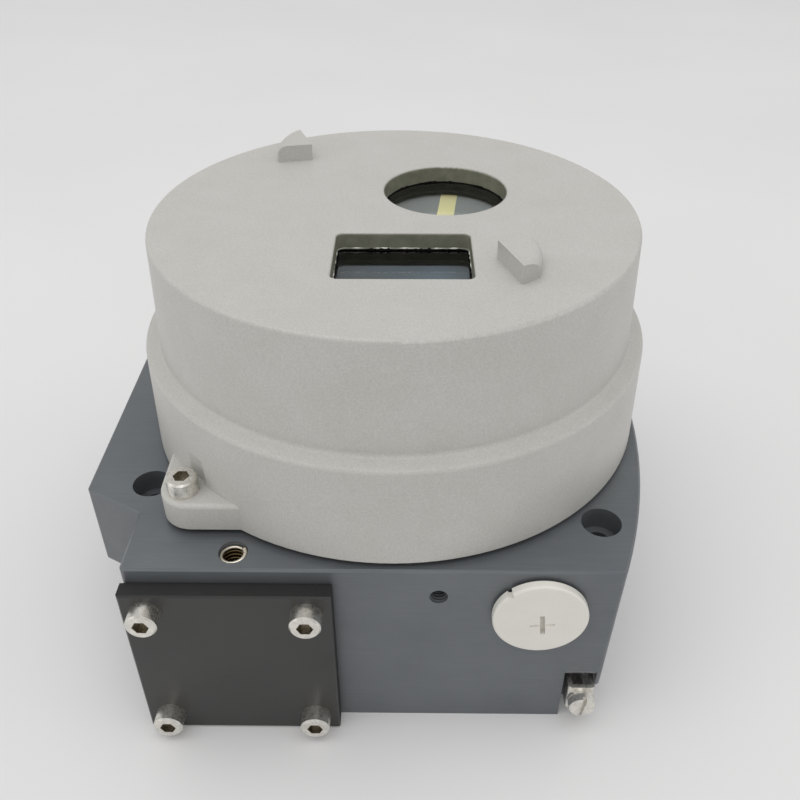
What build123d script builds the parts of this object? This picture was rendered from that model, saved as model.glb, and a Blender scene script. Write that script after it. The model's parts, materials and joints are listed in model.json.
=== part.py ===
from build123d import *
from math import atan2, cos, degrees, hypot, radians, sin
import os

# Valve positioner: an aluminium base with a screwed round cover over its electronics.
# Millimetres, +Z up. The source is laid out about the axis of the round cover, with z = 0 at the
# base's mounting face. write() shifts every piece so that the feedback shaft stands on the origin.

# Feedback shaft, its place from the cover's axis
SHAFT_X = 15.3
SHAFT_Y = 16.5
SHAFT_R = 5.0
SHAFT_TIP_GAP = 1.5
SHAFT_SLOT_W = 2.5
SHAFT_SLOT_DEPTH = 3.0
SHAFT_TOP_R = 3.0
COLLAR_W = 3.0
COLLAR_H = 1.6

# Shaft pocket, boss, bearings and seal in the base
POCKET_R = 17.5
POCKET_H = 14.0
BOSS_L = 23.4
BOSS_WALL = 3.5
BUSH_WALL = 2.0
BUSH_L = 10.0
BUSH_FLANGE_W = 2.0
BUSH_FLANGE_H = 1.4
SEAL_W = 3.0
SEAL_H = 3.0
SEAL_RUN = 0.06
CLIP_H = 1.0
CLIP_W = 3.5
CLIP_GAP = 0.3
CLIP_GROOVE_DEPTH = 0.8

# Base housing: heights from its mounting face, walls and margins outwards from the chamber
BASE_H = 62.6
FLOOR_H = 22.6
LEDGE_DEPTH = 18.0
LEDGE_W = 6.0
NECK_WALL = 9.0
NECK_H = 25.0
NECK_CHAMFER = 1.2
FACE_MARGIN = 1.1
SIDE_MARGIN = 0.8
SIDE_BOW = 15.3
LEFT_CUT = 4.7
DRAFT_X = 1.8
EDGE_CHAMFER = 0.7
CORNER_R = 1.6
WING_OUT = 17.4
WING_TIP_INSET = 30.9
WING_ROOT_INSET = 21.5
WING_H = 28.0
WING_CHAMFER = 0.3
SIDE_POCKET_DEPTH = 11.7
SIDE_POCKET_Y = 48.0
SIDE_POCKET_R = 6.0

# Holes in the base
BRACKET_PCD = 50.0
BRACKET_HOLE_R = 2.5
BRACKET_HOLE_L = 12.0
FLANGE_HOLE_R = 3.3
FLANGE_BORE_R = 5.6
FLANGE_BORE_DEPTH = 7.0
RIGHT_HOLE_INSET = 3.6
RIGHT_HOLE_END = 18.6
LEFT_HOLE_OUT = 0.9
LEFT_HOLE_END = 33.7
INSERT_X = -42.4
INSERT_INSET = 6.5
INSERT_R = 3.95
INSERT_HOLE_R = 2.1
INSERT_L = 7.5
INSERT_PROUD = 0.15
FRONT_HOLE_X = 12.8
FRONT_HOLE_DROP = 9.9
FRONT_HOLE_R = 2.5
FRONT_HOLE_L = 12.0
PORT_R = 5.9
PORT_L = 13.0
PORT_Z = 14.2
PORT_STEP = 22.0
PORT_FACE_R = 10.5
PORT_FACE_DEPTH = 0.5
GALLERY_R = 2.5
PLATE_PORT_STEP = 11.0
PLATE_PORT_L = 12.0

# Blanking plate on the front face
PLATE_OVERHANG = 0.2
PLATE_W = 56.4
PLATE_Z0 = 0.3
PLATE_DROP = 4.6
PLATE_T = 4.6
PLATE_EDGE = 0.5
GASKET_T = 0.6
GASKET_INSET = 0.6
PLATE_SCREW_INSET = 6.75
PLATE_SCREW_RISE = 6.45

# M5 socket head cap screws
M5_HEAD_R = 4.25
M5_HEAD_H = 5.0
M5_HEX = 4.0
M5_HEX_DEPTH = 2.6
M5_TAP_R = 2.1
M5_CLEAR_R = 2.75
M5_GRIP = 10.0
THREAD_GAP = 0.05

# Conduit entry and its plug
CONDUIT_X = 40.3
CONDUIT_DROP = 15.35
CONDUIT_R = 9.25
PLUG_HEAD_W = 3.75
PLUG_HEAD_T = 2.4
PLUG_EDGE_R = 0.7
PLUG_WALL = 1.8
PLUG_L = 14.0
PLUG_SEAL_W = 2.75
PLUG_SEAL_T = 0.8
PLUG_SLOT_L = 7.5
PLUG_SLOT_W = 1.3
PLUG_SLOT_DEPTH = 1.6
PLUG_BAR_L = 6.7
PLUG_BAR_W = 0.8
PLUG_BAR_DEPTH = 0.35
PLUG_CROSS_X = 0.65
PLUG_CROSS_DROP = 2.05
PLUG_CROSS_LEAN = 5.8
PLUG_NICK_R = 0.8
PLUG_NICK_IN = 0.3
PLUG_NICK_ANGLE = 133.0

# Ground terminal in the front right corner
GROUND_INSET = 6.6
GROUND_Z = 11.6
GROUND_GAP_LEFT = 1.2
GROUND_GAP_RIGHT = 0.3
GROUND_NOTCH_RISE = 6.6
GROUND_STRIP_RISE = 3.4
GROUND_NOTCH_DEPTH = 7.0
GROUND_NOTCH_ROUND = 3.0
GROUND_STRIP_DEPTH = 12.0
CLAMP_W = 7.8
CLAMP_H = 9.6
CLAMP_PROUD = 2.2
CLAMP_T = 1.2
GROUND_WASHER_R = 3.9
GROUND_WASHER_T = 0.9
GROUND_HEAD_R = 3.8
GROUND_HEAD_H = 2.8
GROUND_SLOT_W = 1.1
GROUND_SLOT_DEPTH = 1.3
GROUND_SLOT_LEAN = -8.0
M4_CLEAR_R = 2.15
M4_TAP_R = 1.65
GROUND_GRIP = 6.5

# Exhaust vent on the back face, at the height of the ports
VENT_X = -36.0
VENT_R = 5.9
VENT_L = 8.0
VENT_HEX = 14.0
VENT_HEAD_T = 4.0
VENT_GAP = 4.0

# Round cover: walls outwards from its thread, heights from the flange
COVER_GAP = 1.75
COVER_THREAD_GAP = 0.3
GROOVE_WALL = 1.9
GROOVE_W = 3.6
SKIRT_WALL = 3.6
SKIRT_TAPER = 0.8
COVER_STEP_W = 4.4
WALL_TAPER = 1.2
COVER_WALL = 5.5
SKIRT_H = 32.2
COVER_STEP_RISE = 1.5
ROOF_T = 8.5
NECK_ROOM = 2.0
THREAD_LEAD_H = 1.0
COVER_EDGE_R = 0.9
LEDGE_EDGE_R = 1.2
COVER_SEAL_H = 3.4
SEAL_GAP = 0.3
SEAL_EDGE_R = 0.8

# Windows in the cover, and the glass in each
ROUND_WINDOW_R = 18.5
RECT_X = 2.8
RECT_Y = -27.4
RECT_W = 36.6
RECT_L = 26.1
RECT_CORNER_R = 2.0
WINDOW_EDGE_R = 0.8
LIP_T = 5.1
BOND_T = 0.2
GLASS_T = 8.0
GLASS_SEAT = 2.8
BOND_SIDE = 0.5
RETAINER_T = 1.0
PAD_RIM = 4.5

# Wrench lugs on the cover
LUG_H = 5.2
LUG_X = 27.3
LUG_Y = -29.6
LUG_ANGLE = -69.9
LUG_L = 15.0
LUG_FAR_W = 10.9
LUG_NEAR_W = 5.6
LUG_END_SLANT = 1.6
LUG_BULGE = 1.0
LUG_EDGE_R = 3.0
LUG_PAIR_Y = 5.4

# Ear with the cover's lock screw, inwards from the skirt's extent
EAR_INSET_X = 12.7
EAR_INSET_Y = 12.0
EAR_H = 10.4
EAR_CORNER_R = 9.0
EAR_EDGE_R = 1.2
LOCK_INSET_X = 6.8
LOCK_INSET_Y = 6.5
LOCK_TIP_GAP = 0.3
LOCK_RELIEF_R = 6.1
LOCK_RELIEF_RISE = 8.6

# Spool valve block on the chamber floor
VALVE_X = -28.0
VALVE_W = 28.0
VALVE_L = 48.0
VALVE_H = 28.0
VALVE_CAP_T = 5.0
VALVE_GASKET_T = 0.8
VALVE_ROOM = 0.9
VALVE_PORT_INSET = 6.0
SPOOL_R = 5.0
SPOOL_Z = 15.0
SPOOL_ROOM = 2.0
SPOOL_WAIST = 1.8
SPOOL_LAND_L = 6.0
SPOOL_LANDS = 4
FIT_GAP = 0.03
VALVE_SCREW_INSET_X = 3.5
VALVE_SCREW_INSET_Y = 4.5
M4_HEAD_R = 3.5
M4_HEAD_H = 4.0
M4_HEX = 3.0
M4_HEX_DEPTH = 2.0
M4_GRIP = 5.0
M4_END_GAP = 0.5
CAP_SCREW_X = 5.5
CAP_SCREW_Z = 5.0
M3_HEAD_R = 2.75
M3_HEAD_H = 2.0
M3_R = 1.45
M3_GRIP = 6.0

# Prestage on top of the valve block
PRESTAGE_INSET_X = 4.0
PRESTAGE_INSET_Y = 12.0
PRESTAGE_H = 16.0
COIL_INSET = 2.0
COIL_H = 7.0

# Position sensing on the shaft
MAGNET_WALL = 3.5
MAGNET_RISE = 6.0
MAGNET_H = 6.0
SENSOR_GAP = 2.0
SENSOR_W = 40.0
SENSOR_L = 34.0
BOARD_T = 1.6
BOARD_HOLE_GAP = 1.5
POST_R = 2.6
POST_INSET = 3.6

# Electronics carrier, main board and controller cover
COIL_ROOM = 5.1
CARRIER_T = 3.0
CARRIER_GAP = 0.5
CARRIER_POST_R = 2.7
CARRIER_POST_INSET = 3.3
CARRIER_POST_ANGLES = (80.0, 200.0, 340.0)
CARRIER_BOSS_R = 3.5
CARRIER_BOSS_L = 9.0
SHAFT_HOLE_GAP = 2.0
MAIN_BOARD_GAP = 4.0
CASE_WALL = 2.0
CASE_GAP = 3.0
CASE_EDGE_R = 1.5
SCALLOP_GAP = 0.6
CASE_SCREW_INSET = 3.0
CASE_SCREW_ANGLES = (50.0, 140.0, 230.0, 322.0)
TOWER_MARGIN = 4.6
TOWER_WALL = 1.6
TOWER_DROP = 2.0
DISPLAY_H = 8.0
DISPLAY_SEAT = 2.6
DISPLAY_EDGE = 0.2
DISPLAY_GAP = 0.5

# Push buttons, from the cover's axis, in one row, each on its switch
BUTTON_X = -38.0
BUTTON_Y0 = -24.0
BUTTON_STEP = 14.0
BUTTON_NAMES = ("up", "down", "enter", "back")
BUTTON_R = 4.0
BUTTON_GAP = 0.1
BUTTON_PROUD = 3.0
BUTTON_STEM_L = 1.54
BUTTON_FLANGE_W = 1.2
BUTTON_FLANGE_H = 1.4
BUTTON_TRAVEL = 0.8
BUTTON_ROOM = 2.86
SWITCH_W = 6.0
SWITCH_H = 3.6
SWITCH_STEM_R = 1.7
SWITCH_STEM_H = 1.0

# Terminal block on the main board
TERMINAL_X = 38.5
TERMINAL_Y = -9.0
TERMINAL_W = 12.0
TERMINAL_L = 26.0
TERMINAL_H = 14.0
TERMINAL_WAYS = 4
TERMINAL_SCREW_R = 1.9
TERMINAL_SCREW_H = 4.0
TERMINAL_GAP = 0.5

# Indicator on top of the shaft
DISC_MARGIN = 1.1
DISC_T = 1.5
DISC_GAP = 1.0
HUB_WALL = 3.0
HUB_H = 7.3
MARK_W = 5.3
MARK_T = 0.4
MARK_ANGLE = 83.5

# Shaft group, outwards from the shaft
BUSH_R = SHAFT_R + BUSH_WALL
BUSH_FLANGE_R = BUSH_R + BUSH_FLANGE_W
BOSS_R = BUSH_R + BOSS_WALL
SEAL_R = SHAFT_R + SEAL_W
COLLAR_R = SHAFT_R + COLLAR_W
CLIP_R = SHAFT_R + CLIP_W
MAGNET_R = SHAFT_R + MAGNET_WALL
BOARD_HOLE_R = SHAFT_R + BOARD_HOLE_GAP
SHAFT_HOLE_R = SHAFT_R + SHAFT_HOLE_GAP
HUB_R = SHAFT_TOP_R + HUB_WALL
DISC_R = ROUND_WINDOW_R + DISC_MARGIN
BOSS_TOP = FLOOR_H + BOSS_L
COLLAR_Z = BOSS_TOP + BUSH_FLANGE_H + FIT_GAP
MAGNET_Z = COLLAR_Z + COLLAR_H + MAGNET_RISE
SENSOR_Z = MAGNET_Z + MAGNET_H + SENSOR_GAP

# Valve block and prestage
VALVE_FLOOR = FLOOR_H + VALVE_GASKET_T
VALVE_TOP = VALVE_FLOOR + VALVE_H
VALVE_END_Y = VALVE_L / 2 + VALVE_CAP_T
VALVE_PORT_STEP = VALVE_L / 2 - VALVE_PORT_INSET
VALVE_SCREW_X = VALVE_W / 2 - VALVE_SCREW_INSET_X
VALVE_SCREW_Y = VALVE_L / 2 - VALVE_SCREW_INSET_Y
VENT_RISE_Y = VALVE_END_Y + VENT_GAP
SPOOL_L = VALVE_L - 2 * SPOOL_ROOM
PRESTAGE_W = VALVE_W - 2 * PRESTAGE_INSET_X
PRESTAGE_L = VALVE_L - 2 * PRESTAGE_INSET_Y
COIL_R = PRESTAGE_W / 2 - COIL_INSET

# Heights upwards through the electronics to the top of the cover
CARRIER_Z = VALVE_TOP + PRESTAGE_H + COIL_H + COIL_ROOM
CARRIER_TOP = CARRIER_Z + CARRIER_T
MAIN_BOARD_Z = CARRIER_TOP + CARRIER_BOSS_L
BOARD_TOP = MAIN_BOARD_Z + BOARD_T
BUTTON_Z = BOARD_TOP + SWITCH_H + SWITCH_STEM_H + BUTTON_TRAVEL + FIT_GAP
BUTTON_FLANGE_Z = BUTTON_Z + BUTTON_STEM_L
CASE_UNDER = BUTTON_FLANGE_Z + BUTTON_FLANGE_H + FIT_GAP
CASE_TOP = CASE_UNDER + CASE_WALL
DISPLAY_Z = CASE_TOP + DISPLAY_SEAT
DISPLAY_TOP = DISPLAY_Z + DISPLAY_H
PAD_Z = DISPLAY_TOP + DISPLAY_GAP
DISC_TOP = PAD_Z - DISC_GAP
TOP_Z = PAD_Z + RETAINER_T + GLASS_T + BOND_T + LIP_T
ROOF_Z = TOP_Z - ROOF_T
STEP_Z = BASE_H + NECK_H + NECK_ROOM
SKIRT_Z = BASE_H + SKIRT_H
WALL_FOOT_Z = SKIRT_Z + COVER_STEP_RISE

# Radii outwards: the chamber takes the larger of what the valve block and the buttons need
BUTTON_FLANGE_R = BUTTON_R + BUTTON_FLANGE_W
VALVE_REACH = hypot(abs(VALVE_X) + VALVE_W / 2, VALVE_END_Y) + VALVE_ROOM
BUTTON_REACH = hypot(BUTTON_X, BUTTON_Y0) + BUTTON_FLANGE_R + BUTTON_ROOM
LEDGE_R = round(max(VALVE_REACH + LEDGE_W, BUTTON_REACH + CASE_WALL + CASE_GAP), 1)
CHAMBER_R = LEDGE_R - LEDGE_W
LEDGE_Z = BASE_H - LEDGE_DEPTH
CASE_R = LEDGE_R - CASE_GAP
MAIN_BOARD_R = CASE_R - CASE_WALL - MAIN_BOARD_GAP
CASE_SCREW_RADIUS = MAIN_BOARD_R - CASE_SCREW_INSET
CARRIER_POST_RADIUS = LEDGE_R - CARRIER_POST_INSET
SCALLOP_R = CARRIER_POST_R + SCALLOP_GAP
NECK_R = LEDGE_R + NECK_WALL
BORE_R = NECK_R + COVER_THREAD_GAP
GROOVE_R0 = BORE_R + GROOVE_WALL
GROOVE_R1 = GROOVE_R0 + GROOVE_W
SKIRT_R = GROOVE_R1 + SKIRT_WALL
SKIRT_TOP_R = SKIRT_R - SKIRT_TAPER
WALL_FOOT_R = SKIRT_TOP_R - COVER_STEP_W
TOP_R = WALL_FOOT_R - WALL_TAPER
COVER_INNER_R = TOP_R - COVER_WALL

# Outline of the base, outwards from the cover's skirt, and what lines up with it
HALF_Y = SKIRT_R + FACE_MARGIN
FRONT_Y = -HALF_Y
SIDE_RIGHT_X = SKIRT_R + SIDE_MARGIN
FRONT_RIGHT_X = SIDE_RIGHT_X - SIDE_BOW
LEFT_X = LEFT_CUT - SKIRT_R
WING_X = LEFT_X - WING_OUT
WING_Y = HALF_Y - WING_TIP_INSET
WING_ROOT_Y = HALF_Y - WING_ROOT_INSET
SIDE_X = LEFT_X + SIDE_POCKET_DEPTH
RIGHT_HOLE_X = FRONT_RIGHT_X - RIGHT_HOLE_INSET
RIGHT_HOLE_Y = HALF_Y - RIGHT_HOLE_END
LEFT_HOLE_X = LEFT_X + LEFT_HOLE_OUT
LEFT_HOLE_Y = HALF_Y - LEFT_HOLE_END
INSERT_Y = FRONT_Y + INSERT_INSET
FRONT_HOLE_Z = BASE_H - FRONT_HOLE_DROP
CONDUIT_Z = BASE_H - CONDUIT_DROP
EAR_X = EAR_INSET_X - SKIRT_R
EAR_Y = EAR_INSET_Y - SKIRT_R
LOCK_X = EAR_X + LOCK_INSET_X
LOCK_Y = EAR_Y + LOCK_INSET_Y
PLATE_X0 = LEFT_X - PLATE_OVERHANG
PLATE_X1 = PLATE_X0 + PLATE_W
PLATE_Z1 = BASE_H - PLATE_DROP
PLATE_SCREW_XS = (PLATE_X0 + PLATE_SCREW_INSET, PLATE_X1 - PLATE_SCREW_INSET)
PLATE_SCREW_ZS = (PLATE_Z0 + PLATE_SCREW_RISE, PLATE_Z1 - PLATE_SCREW_RISE)
PLATE_PORT_Z = (PLATE_Z0 + PLATE_Z1) / 2
PLUG_HEAD_R = CONDUIT_R + PLUG_HEAD_W
PLUG_SEAL_R = CONDUIT_R + PLUG_SEAL_W
GROUND_X = FRONT_RIGHT_X - GROUND_INSET
GROUND_NOTCH_X0 = GROUND_X - CLAMP_W / 2 - GROUND_GAP_LEFT
GROUND_NOTCH_X1 = GROUND_X + CLAMP_W / 2 + GROUND_GAP_RIGHT
GROUND_BACK_Y = FRONT_Y + GROUND_NOTCH_DEPTH
CLAMP_FRONT_Y = FRONT_Y - CLAMP_PROUD

UP = (Align.CENTER, Align.CENTER, Align.MIN)


def disc(r, z0, z1, x=0.0, y=0.0):
    """An upright cylinder from z0 to z1."""
    return Pos(x, y, z0) * Cylinder(r, z1 - z0, align=UP)


def rod_y(r, x, z, y0, y1):
    """A cylinder along Y, from y0 to y1."""
    return Pos(x, (y0 + y1) / 2, z) * Rot(90, 0, 0) * Cylinder(r, abs(y1 - y0))


def rod_x(r, y, z, x0, x1):
    """A cylinder along X, from x0 to x1."""
    return Pos((x0 + x1) / 2, y, z) * Rot(0, 90, 0) * Cylinder(r, abs(x1 - x0))


def block(x0, x1, y0, y1, z0, z1):
    """A box between two corners."""
    return Pos((x0 + x1) / 2, (y0 + y1) / 2, (z0 + z1) / 2) * Box(x1 - x0, y1 - y0, z1 - z0)


def round_block(x, y, w, l, corner, z0, z1):
    """An upright box with rounded vertical edges, centred at x, y."""
    return Pos(x, y, z0) * extrude(RectangleRounded(w, l, corner), z1 - z0)


def turned(points):
    """A body turned about Z from its half outline, as (radius, height) points."""
    outline = Polyline(*[(r, 0, z) for r, z in points], close=True)
    return revolve(make_face(outline), Axis.Z)


def at_shaft(shape):
    return Pos(SHAFT_X, SHAFT_Y, 0) * shape


def ring(points, x=0.0, y=0.0):
    return Pos(x, y, 0) * turned(points)


def polar(radius, angle):
    return radius * cos(radians(angle)), radius * sin(radians(angle))


def socket_screw(head_r, head_h, hexagon, hex_depth, shank_r, shank_l):
    """A cap screw that stands on z = 0, with its shank below."""
    edge = 0.1 * head_h
    body = turned([
        (0, -shank_l), (shank_r - edge, -shank_l), (shank_r, edge - shank_l), (shank_r, 0),
        (head_r, 0), (head_r, head_h - edge), (head_r - edge, head_h), (0, head_h),
    ])
    socket = RegularPolygon(hexagon / 2, 6, major_radius=False)
    return body - Pos(0, 0, head_h - hex_depth) * extrude(socket, hex_depth)


def m5_screw(shank_l):
    return socket_screw(M5_HEAD_R, M5_HEAD_H, M5_HEX, M5_HEX_DEPTH, M5_TAP_R - THREAD_GAP, shank_l)


def body_plan(inset):
    """Plan of the base without its wing: straight front, back and left, and a bowed right side."""
    front = FRONT_RIGHT_X - inset
    middle = SIDE_RIGHT_X - inset
    sides = [
        Line((LEFT_X, -HALF_Y), (front, -HALF_Y)),
        ThreePointArc((front, -HALF_Y), (middle, 0), (front, HALF_Y)),
        Line((front, HALF_Y), (LEFT_X, HALF_Y)),
        Line((LEFT_X, HALF_Y), (LEFT_X, -HALF_Y)),
    ]
    return make_face(sides)


def base_block():
    """The base's outside: a drafted block, the side pocket under the wing, and the wing."""
    body = loft([body_plan(DRAFT_X), Pos(0, 0, BASE_H) * body_plan(0)], ruled=True)
    upright = [e for e in body.edges() if e.length > BASE_H / 2 and abs((e % 0.5).Z) > 0.9]
    body = fillet(upright, CORNER_R)
    pocket = block(LEFT_X - 1, SIDE_X, -SIDE_POCKET_Y, SIDE_POCKET_Y, -1, BASE_H - WING_H)
    inner = pocket.edges().filter_by(Axis.Z).group_by(Axis.X)[-1]
    body -= fillet(inner, SIDE_POCKET_R)
    plan = Polyline(
        (LEFT_X + 1, -WING_ROOT_Y), (LEFT_X, -WING_ROOT_Y), (WING_X, -WING_Y),
        (WING_X, WING_Y), (LEFT_X, WING_ROOT_Y), (LEFT_X + 1, WING_ROOT_Y), close=True,
    )
    wing = Pos(0, 0, BASE_H - WING_H) * extrude(make_face(plan), WING_H)
    tips = wing.edges().filter_by(Axis.Z).group_by(Axis.X)[0]
    body += fillet(tips, CORNER_R)
    rim = body.faces().sort_by(Axis.Z)[-1].outer_wire().edges()
    body = chamfer([e for e in rim if e.center().X > LEFT_X], EDGE_CHAMFER)
    rim = body.faces().sort_by(Axis.Z)[-1].outer_wire().edges()
    return chamfer([e for e in rim if e.center().X < LEFT_X - 1], WING_CHAMFER)


def flange_holes():
    """Counterbored holes down through the flange: two through the body, two through the wing."""
    cut = None
    for x, side, bottom in (
        (RIGHT_HOLE_X, RIGHT_HOLE_Y, -1), (LEFT_HOLE_X, LEFT_HOLE_Y, BASE_H - WING_H - 1),
    ):
        for y in (-side, side):
            hole = disc(FLANGE_HOLE_R, bottom, BASE_H + 1, x, y)
            hole += disc(FLANGE_BORE_R, BASE_H - FLANGE_BORE_DEPTH, BASE_H + 1, x, y)
            cut = hole if cut is None else cut + hole
    return cut


def air_ports():
    """Supply and two outputs: spot face and tapped hole on the side, gallery up to the valve."""
    cut = None
    for step in (-1, 0, 1):
        y = step * PORT_STEP
        rise_y = step * VALVE_PORT_STEP
        port = rod_x(PORT_FACE_R, y, PORT_Z, SIDE_X - 1, SIDE_X + PORT_FACE_DEPTH)
        port += rod_x(PORT_R, y, PORT_Z, SIDE_X - 1, SIDE_X + PORT_L)
        port += slanted_gallery((SIDE_X + PORT_L - 1, y), (VALVE_X, rise_y), PORT_Z)
        port += disc(GALLERY_R, PORT_Z, FLOOR_H + 1, VALVE_X, rise_y)
        cut = port if cut is None else cut + port
    return cut


def slanted_gallery(start, end, z):
    """A gallery at one height, drilled on the slant from a port to the foot of its riser."""
    dx = end[0] - start[0]
    dy = end[1] - start[1]
    turn = Rot(0, 0, degrees(atan2(dy, dx))) * Rot(0, 90, 0)
    return Pos(start[0], start[1], z) * turn * Cylinder(GALLERY_R, hypot(dx, dy), align=UP)


def base_housing():
    """The machined base: chamber, threaded neck, shaft boss, ports and every fixing hole."""
    body = base_block()
    body += disc(NECK_R, BASE_H - 1, BASE_H + NECK_H)
    rim = body.faces().sort_by(Axis.Z)[-1]
    body = chamfer(rim.edges(), NECK_CHAMFER)
    body -= disc(LEDGE_R, LEDGE_Z, BASE_H + NECK_H + 1)
    body -= disc(CHAMBER_R, FLOOR_H, BASE_H)
    body += disc(BOSS_R, FLOOR_H - 1, BOSS_TOP, SHAFT_X, SHAFT_Y)
    body -= disc(POCKET_R, -1, POCKET_H, SHAFT_X, SHAFT_Y)
    body -= disc(SEAL_R, POCKET_H - 1, POCKET_H + SEAL_H, SHAFT_X, SHAFT_Y)
    body -= disc(BUSH_R, POCKET_H, BOSS_TOP + 1, SHAFT_X, SHAFT_Y)
    for k in range(4):
        dx, dy = polar(BRACKET_PCD / 2, 45 + 90 * k)
        body -= disc(BRACKET_HOLE_R, -1, BRACKET_HOLE_L, SHAFT_X + dx, SHAFT_Y + dy)
    body -= flange_holes()
    body -= disc(INSERT_R, BASE_H - INSERT_L, BASE_H + 1, INSERT_X, INSERT_Y)
    body -= disc(INSERT_HOLE_R, BASE_H - 2 * INSERT_L, BASE_H, INSERT_X, INSERT_Y)
    body -= rod_y(FRONT_HOLE_R, FRONT_HOLE_X, FRONT_HOLE_Z, FRONT_Y - 1, FRONT_Y + FRONT_HOLE_L)
    body -= rod_y(CONDUIT_R, CONDUIT_X, CONDUIT_Z, FRONT_Y - 1, -CHAMBER_R / 2)
    for x, z in plate_screw_places():
        body -= rod_y(M5_TAP_R, x, z, FRONT_Y - 1, FRONT_Y + M5_GRIP + 2)
    for x in plate_port_places():
        body -= rod_y(GALLERY_R, x, PLATE_PORT_Z, FRONT_Y - 1, FRONT_Y + PLATE_PORT_L)
    body -= ground_notch()
    body -= air_ports()
    body -= rod_y(VENT_R, VENT_X, PORT_Z, HALF_Y - VENT_L - 1, HALF_Y + 1)
    body -= rod_y(GALLERY_R, VENT_X, PORT_Z, VENT_RISE_Y, HALF_Y)
    body -= disc(GALLERY_R, PORT_Z, FLOOR_H + 1, VENT_X, VENT_RISE_Y)
    for x, y in valve_screw_places():
        body -= disc(M4_TAP_R, FLOOR_H - M4_GRIP - M4_END_GAP, FLOOR_H + 1, x, y)
    return body


def plate_port_places():
    middle = (PLATE_X0 + PLATE_X1) / 2
    return [middle + k * PLATE_PORT_STEP for k in (-1, 0, 1)]


def valve_screw_places():
    return [(VALVE_X + i * VALVE_SCREW_X, j * VALVE_SCREW_Y) for i in (-1, 1) for j in (-1, 1)]


def ground_notch():
    """Notch for the ground terminal with a rounded brow, the corner cut beside it and the tapped hole."""
    y0 = FRONT_Y - 1
    x0 = GROUND_NOTCH_X0
    x1 = GROUND_NOTCH_X1
    back = GROUND_BACK_Y
    top = GROUND_Z + GROUND_NOTCH_RISE
    r = GROUND_NOTCH_ROUND
    cut = block(x0, x1, y0, back, -1, top)
    brow = block(x0, x1, y0, FRONT_Y + r, top - 1, top + r)
    cut += brow - rod_x(r, FRONT_Y + r, top + r, x0 - 1, x1 + 1)
    strip_top = GROUND_Z + GROUND_STRIP_RISE
    cut += block(x1, SIDE_RIGHT_X, y0, FRONT_Y + GROUND_STRIP_DEPTH, -1, strip_top)
    return cut + rod_y(M4_TAP_R, GROUND_X, GROUND_Z, back - 1, back + GROUND_GRIP + 1)


def shaft_seal():
    inner = SHAFT_R + SEAL_RUN
    return at_shaft(turned([
        (inner, POCKET_H), (SEAL_R, POCKET_H), (SEAL_R, POCKET_H + SEAL_H), (inner, POCKET_H + SEAL_H),
    ]))


def shaft_bush_lower():
    inner = SHAFT_R + FIT_GAP
    z0 = POCKET_H + SEAL_H
    return at_shaft(turned([(inner, z0), (BUSH_R, z0), (BUSH_R, z0 + BUSH_L), (inner, z0 + BUSH_L)]))


def shaft_bush_upper():
    inner = SHAFT_R + FIT_GAP
    z0 = BOSS_TOP - BUSH_L
    z1 = BOSS_TOP + BUSH_FLANGE_H
    return at_shaft(turned([
        (inner, z0), (BUSH_R, z0), (BUSH_R, BOSS_TOP), (BUSH_FLANGE_R, BOSS_TOP),
        (BUSH_FLANGE_R, z1), (inner, z1),
    ]))


def feedback_shaft():
    """The turned shaft: slotted tip, clip groove, thrust collar and the thin end for the disc."""
    collar = COLLAR_Z
    groove_r = SHAFT_R - CLIP_GROOVE_DEPTH
    groove_top = POCKET_H - CLIP_GAP
    groove = groove_top - CLIP_H
    shoulder = DISC_TOP - DISC_T - HUB_H
    tip_r = SHAFT_R - 0.6
    body = turned([
        (0, SHAFT_TIP_GAP), (tip_r, SHAFT_TIP_GAP), (SHAFT_R, SHAFT_TIP_GAP + 0.6),
        (SHAFT_R, groove), (groove_r, groove), (groove_r, groove_top), (SHAFT_R, groove_top),
        (SHAFT_R, collar), (COLLAR_R, collar), (COLLAR_R, collar + COLLAR_H),
        (SHAFT_R, collar + COLLAR_H), (SHAFT_R, shoulder), (SHAFT_TOP_R, shoulder),
        (SHAFT_TOP_R, DISC_TOP - DISC_T - 0.5), (0, DISC_TOP - DISC_T - 0.5),
    ])
    half = SHAFT_SLOT_W / 2
    slot_top = SHAFT_TIP_GAP + SHAFT_SLOT_DEPTH
    body -= block(-SHAFT_R - 1, SHAFT_R + 1, -half, half, 0, slot_top)
    return at_shaft(body)


def shaft_clip():
    """Snap ring in the shaft's groove, open on one side."""
    groove_r = SHAFT_R - CLIP_GROOVE_DEPTH
    z1 = POCKET_H - CLIP_GAP
    z0 = z1 - CLIP_H
    body = turned([(groove_r, z0), (CLIP_R, z0), (CLIP_R, z1), (groove_r, z1)])
    body -= block(0, CLIP_R + 1, -groove_r * 0.8, groove_r * 0.8, z0 - 1, z1 + 1)
    return at_shaft(body)


def shaft_magnet():
    z1 = MAGNET_Z + MAGNET_H
    return at_shaft(turned([(SHAFT_R, MAGNET_Z), (MAGNET_R, MAGNET_Z), (MAGNET_R, z1), (SHAFT_R, z1)]))


def indicator_disc():
    """The grey disc under the round window, with its hub and the groove for the stripe."""
    under = DISC_TOP - DISC_T
    body = turned([
        (SHAFT_TOP_R, under - HUB_H), (HUB_R, under - HUB_H), (HUB_R, under), (DISC_R, under),
        (DISC_R, DISC_TOP), (0, DISC_TOP), (0, under - 0.5), (SHAFT_TOP_R, under - 0.5),
    ])
    body -= rod_x(M3_R, 0, under - HUB_H / 2, 0, HUB_R + 1)
    return at_shaft(body - stripe(0))


def stripe(shrink):
    """The straight stripe across the disc, cut round where it meets the disc's edge."""
    bar = Box(2 * DISC_R + 2, MARK_W - shrink, MARK_T, align=(Align.CENTER, Align.CENTER, Align.MAX))
    bar = Pos(0, 0, DISC_TOP) * Rot(0, 0, MARK_ANGLE) * bar
    return bar & disc(DISC_R, DISC_TOP - MARK_T, DISC_TOP)


def indicator_mark():
    return at_shaft(stripe(0))


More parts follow.
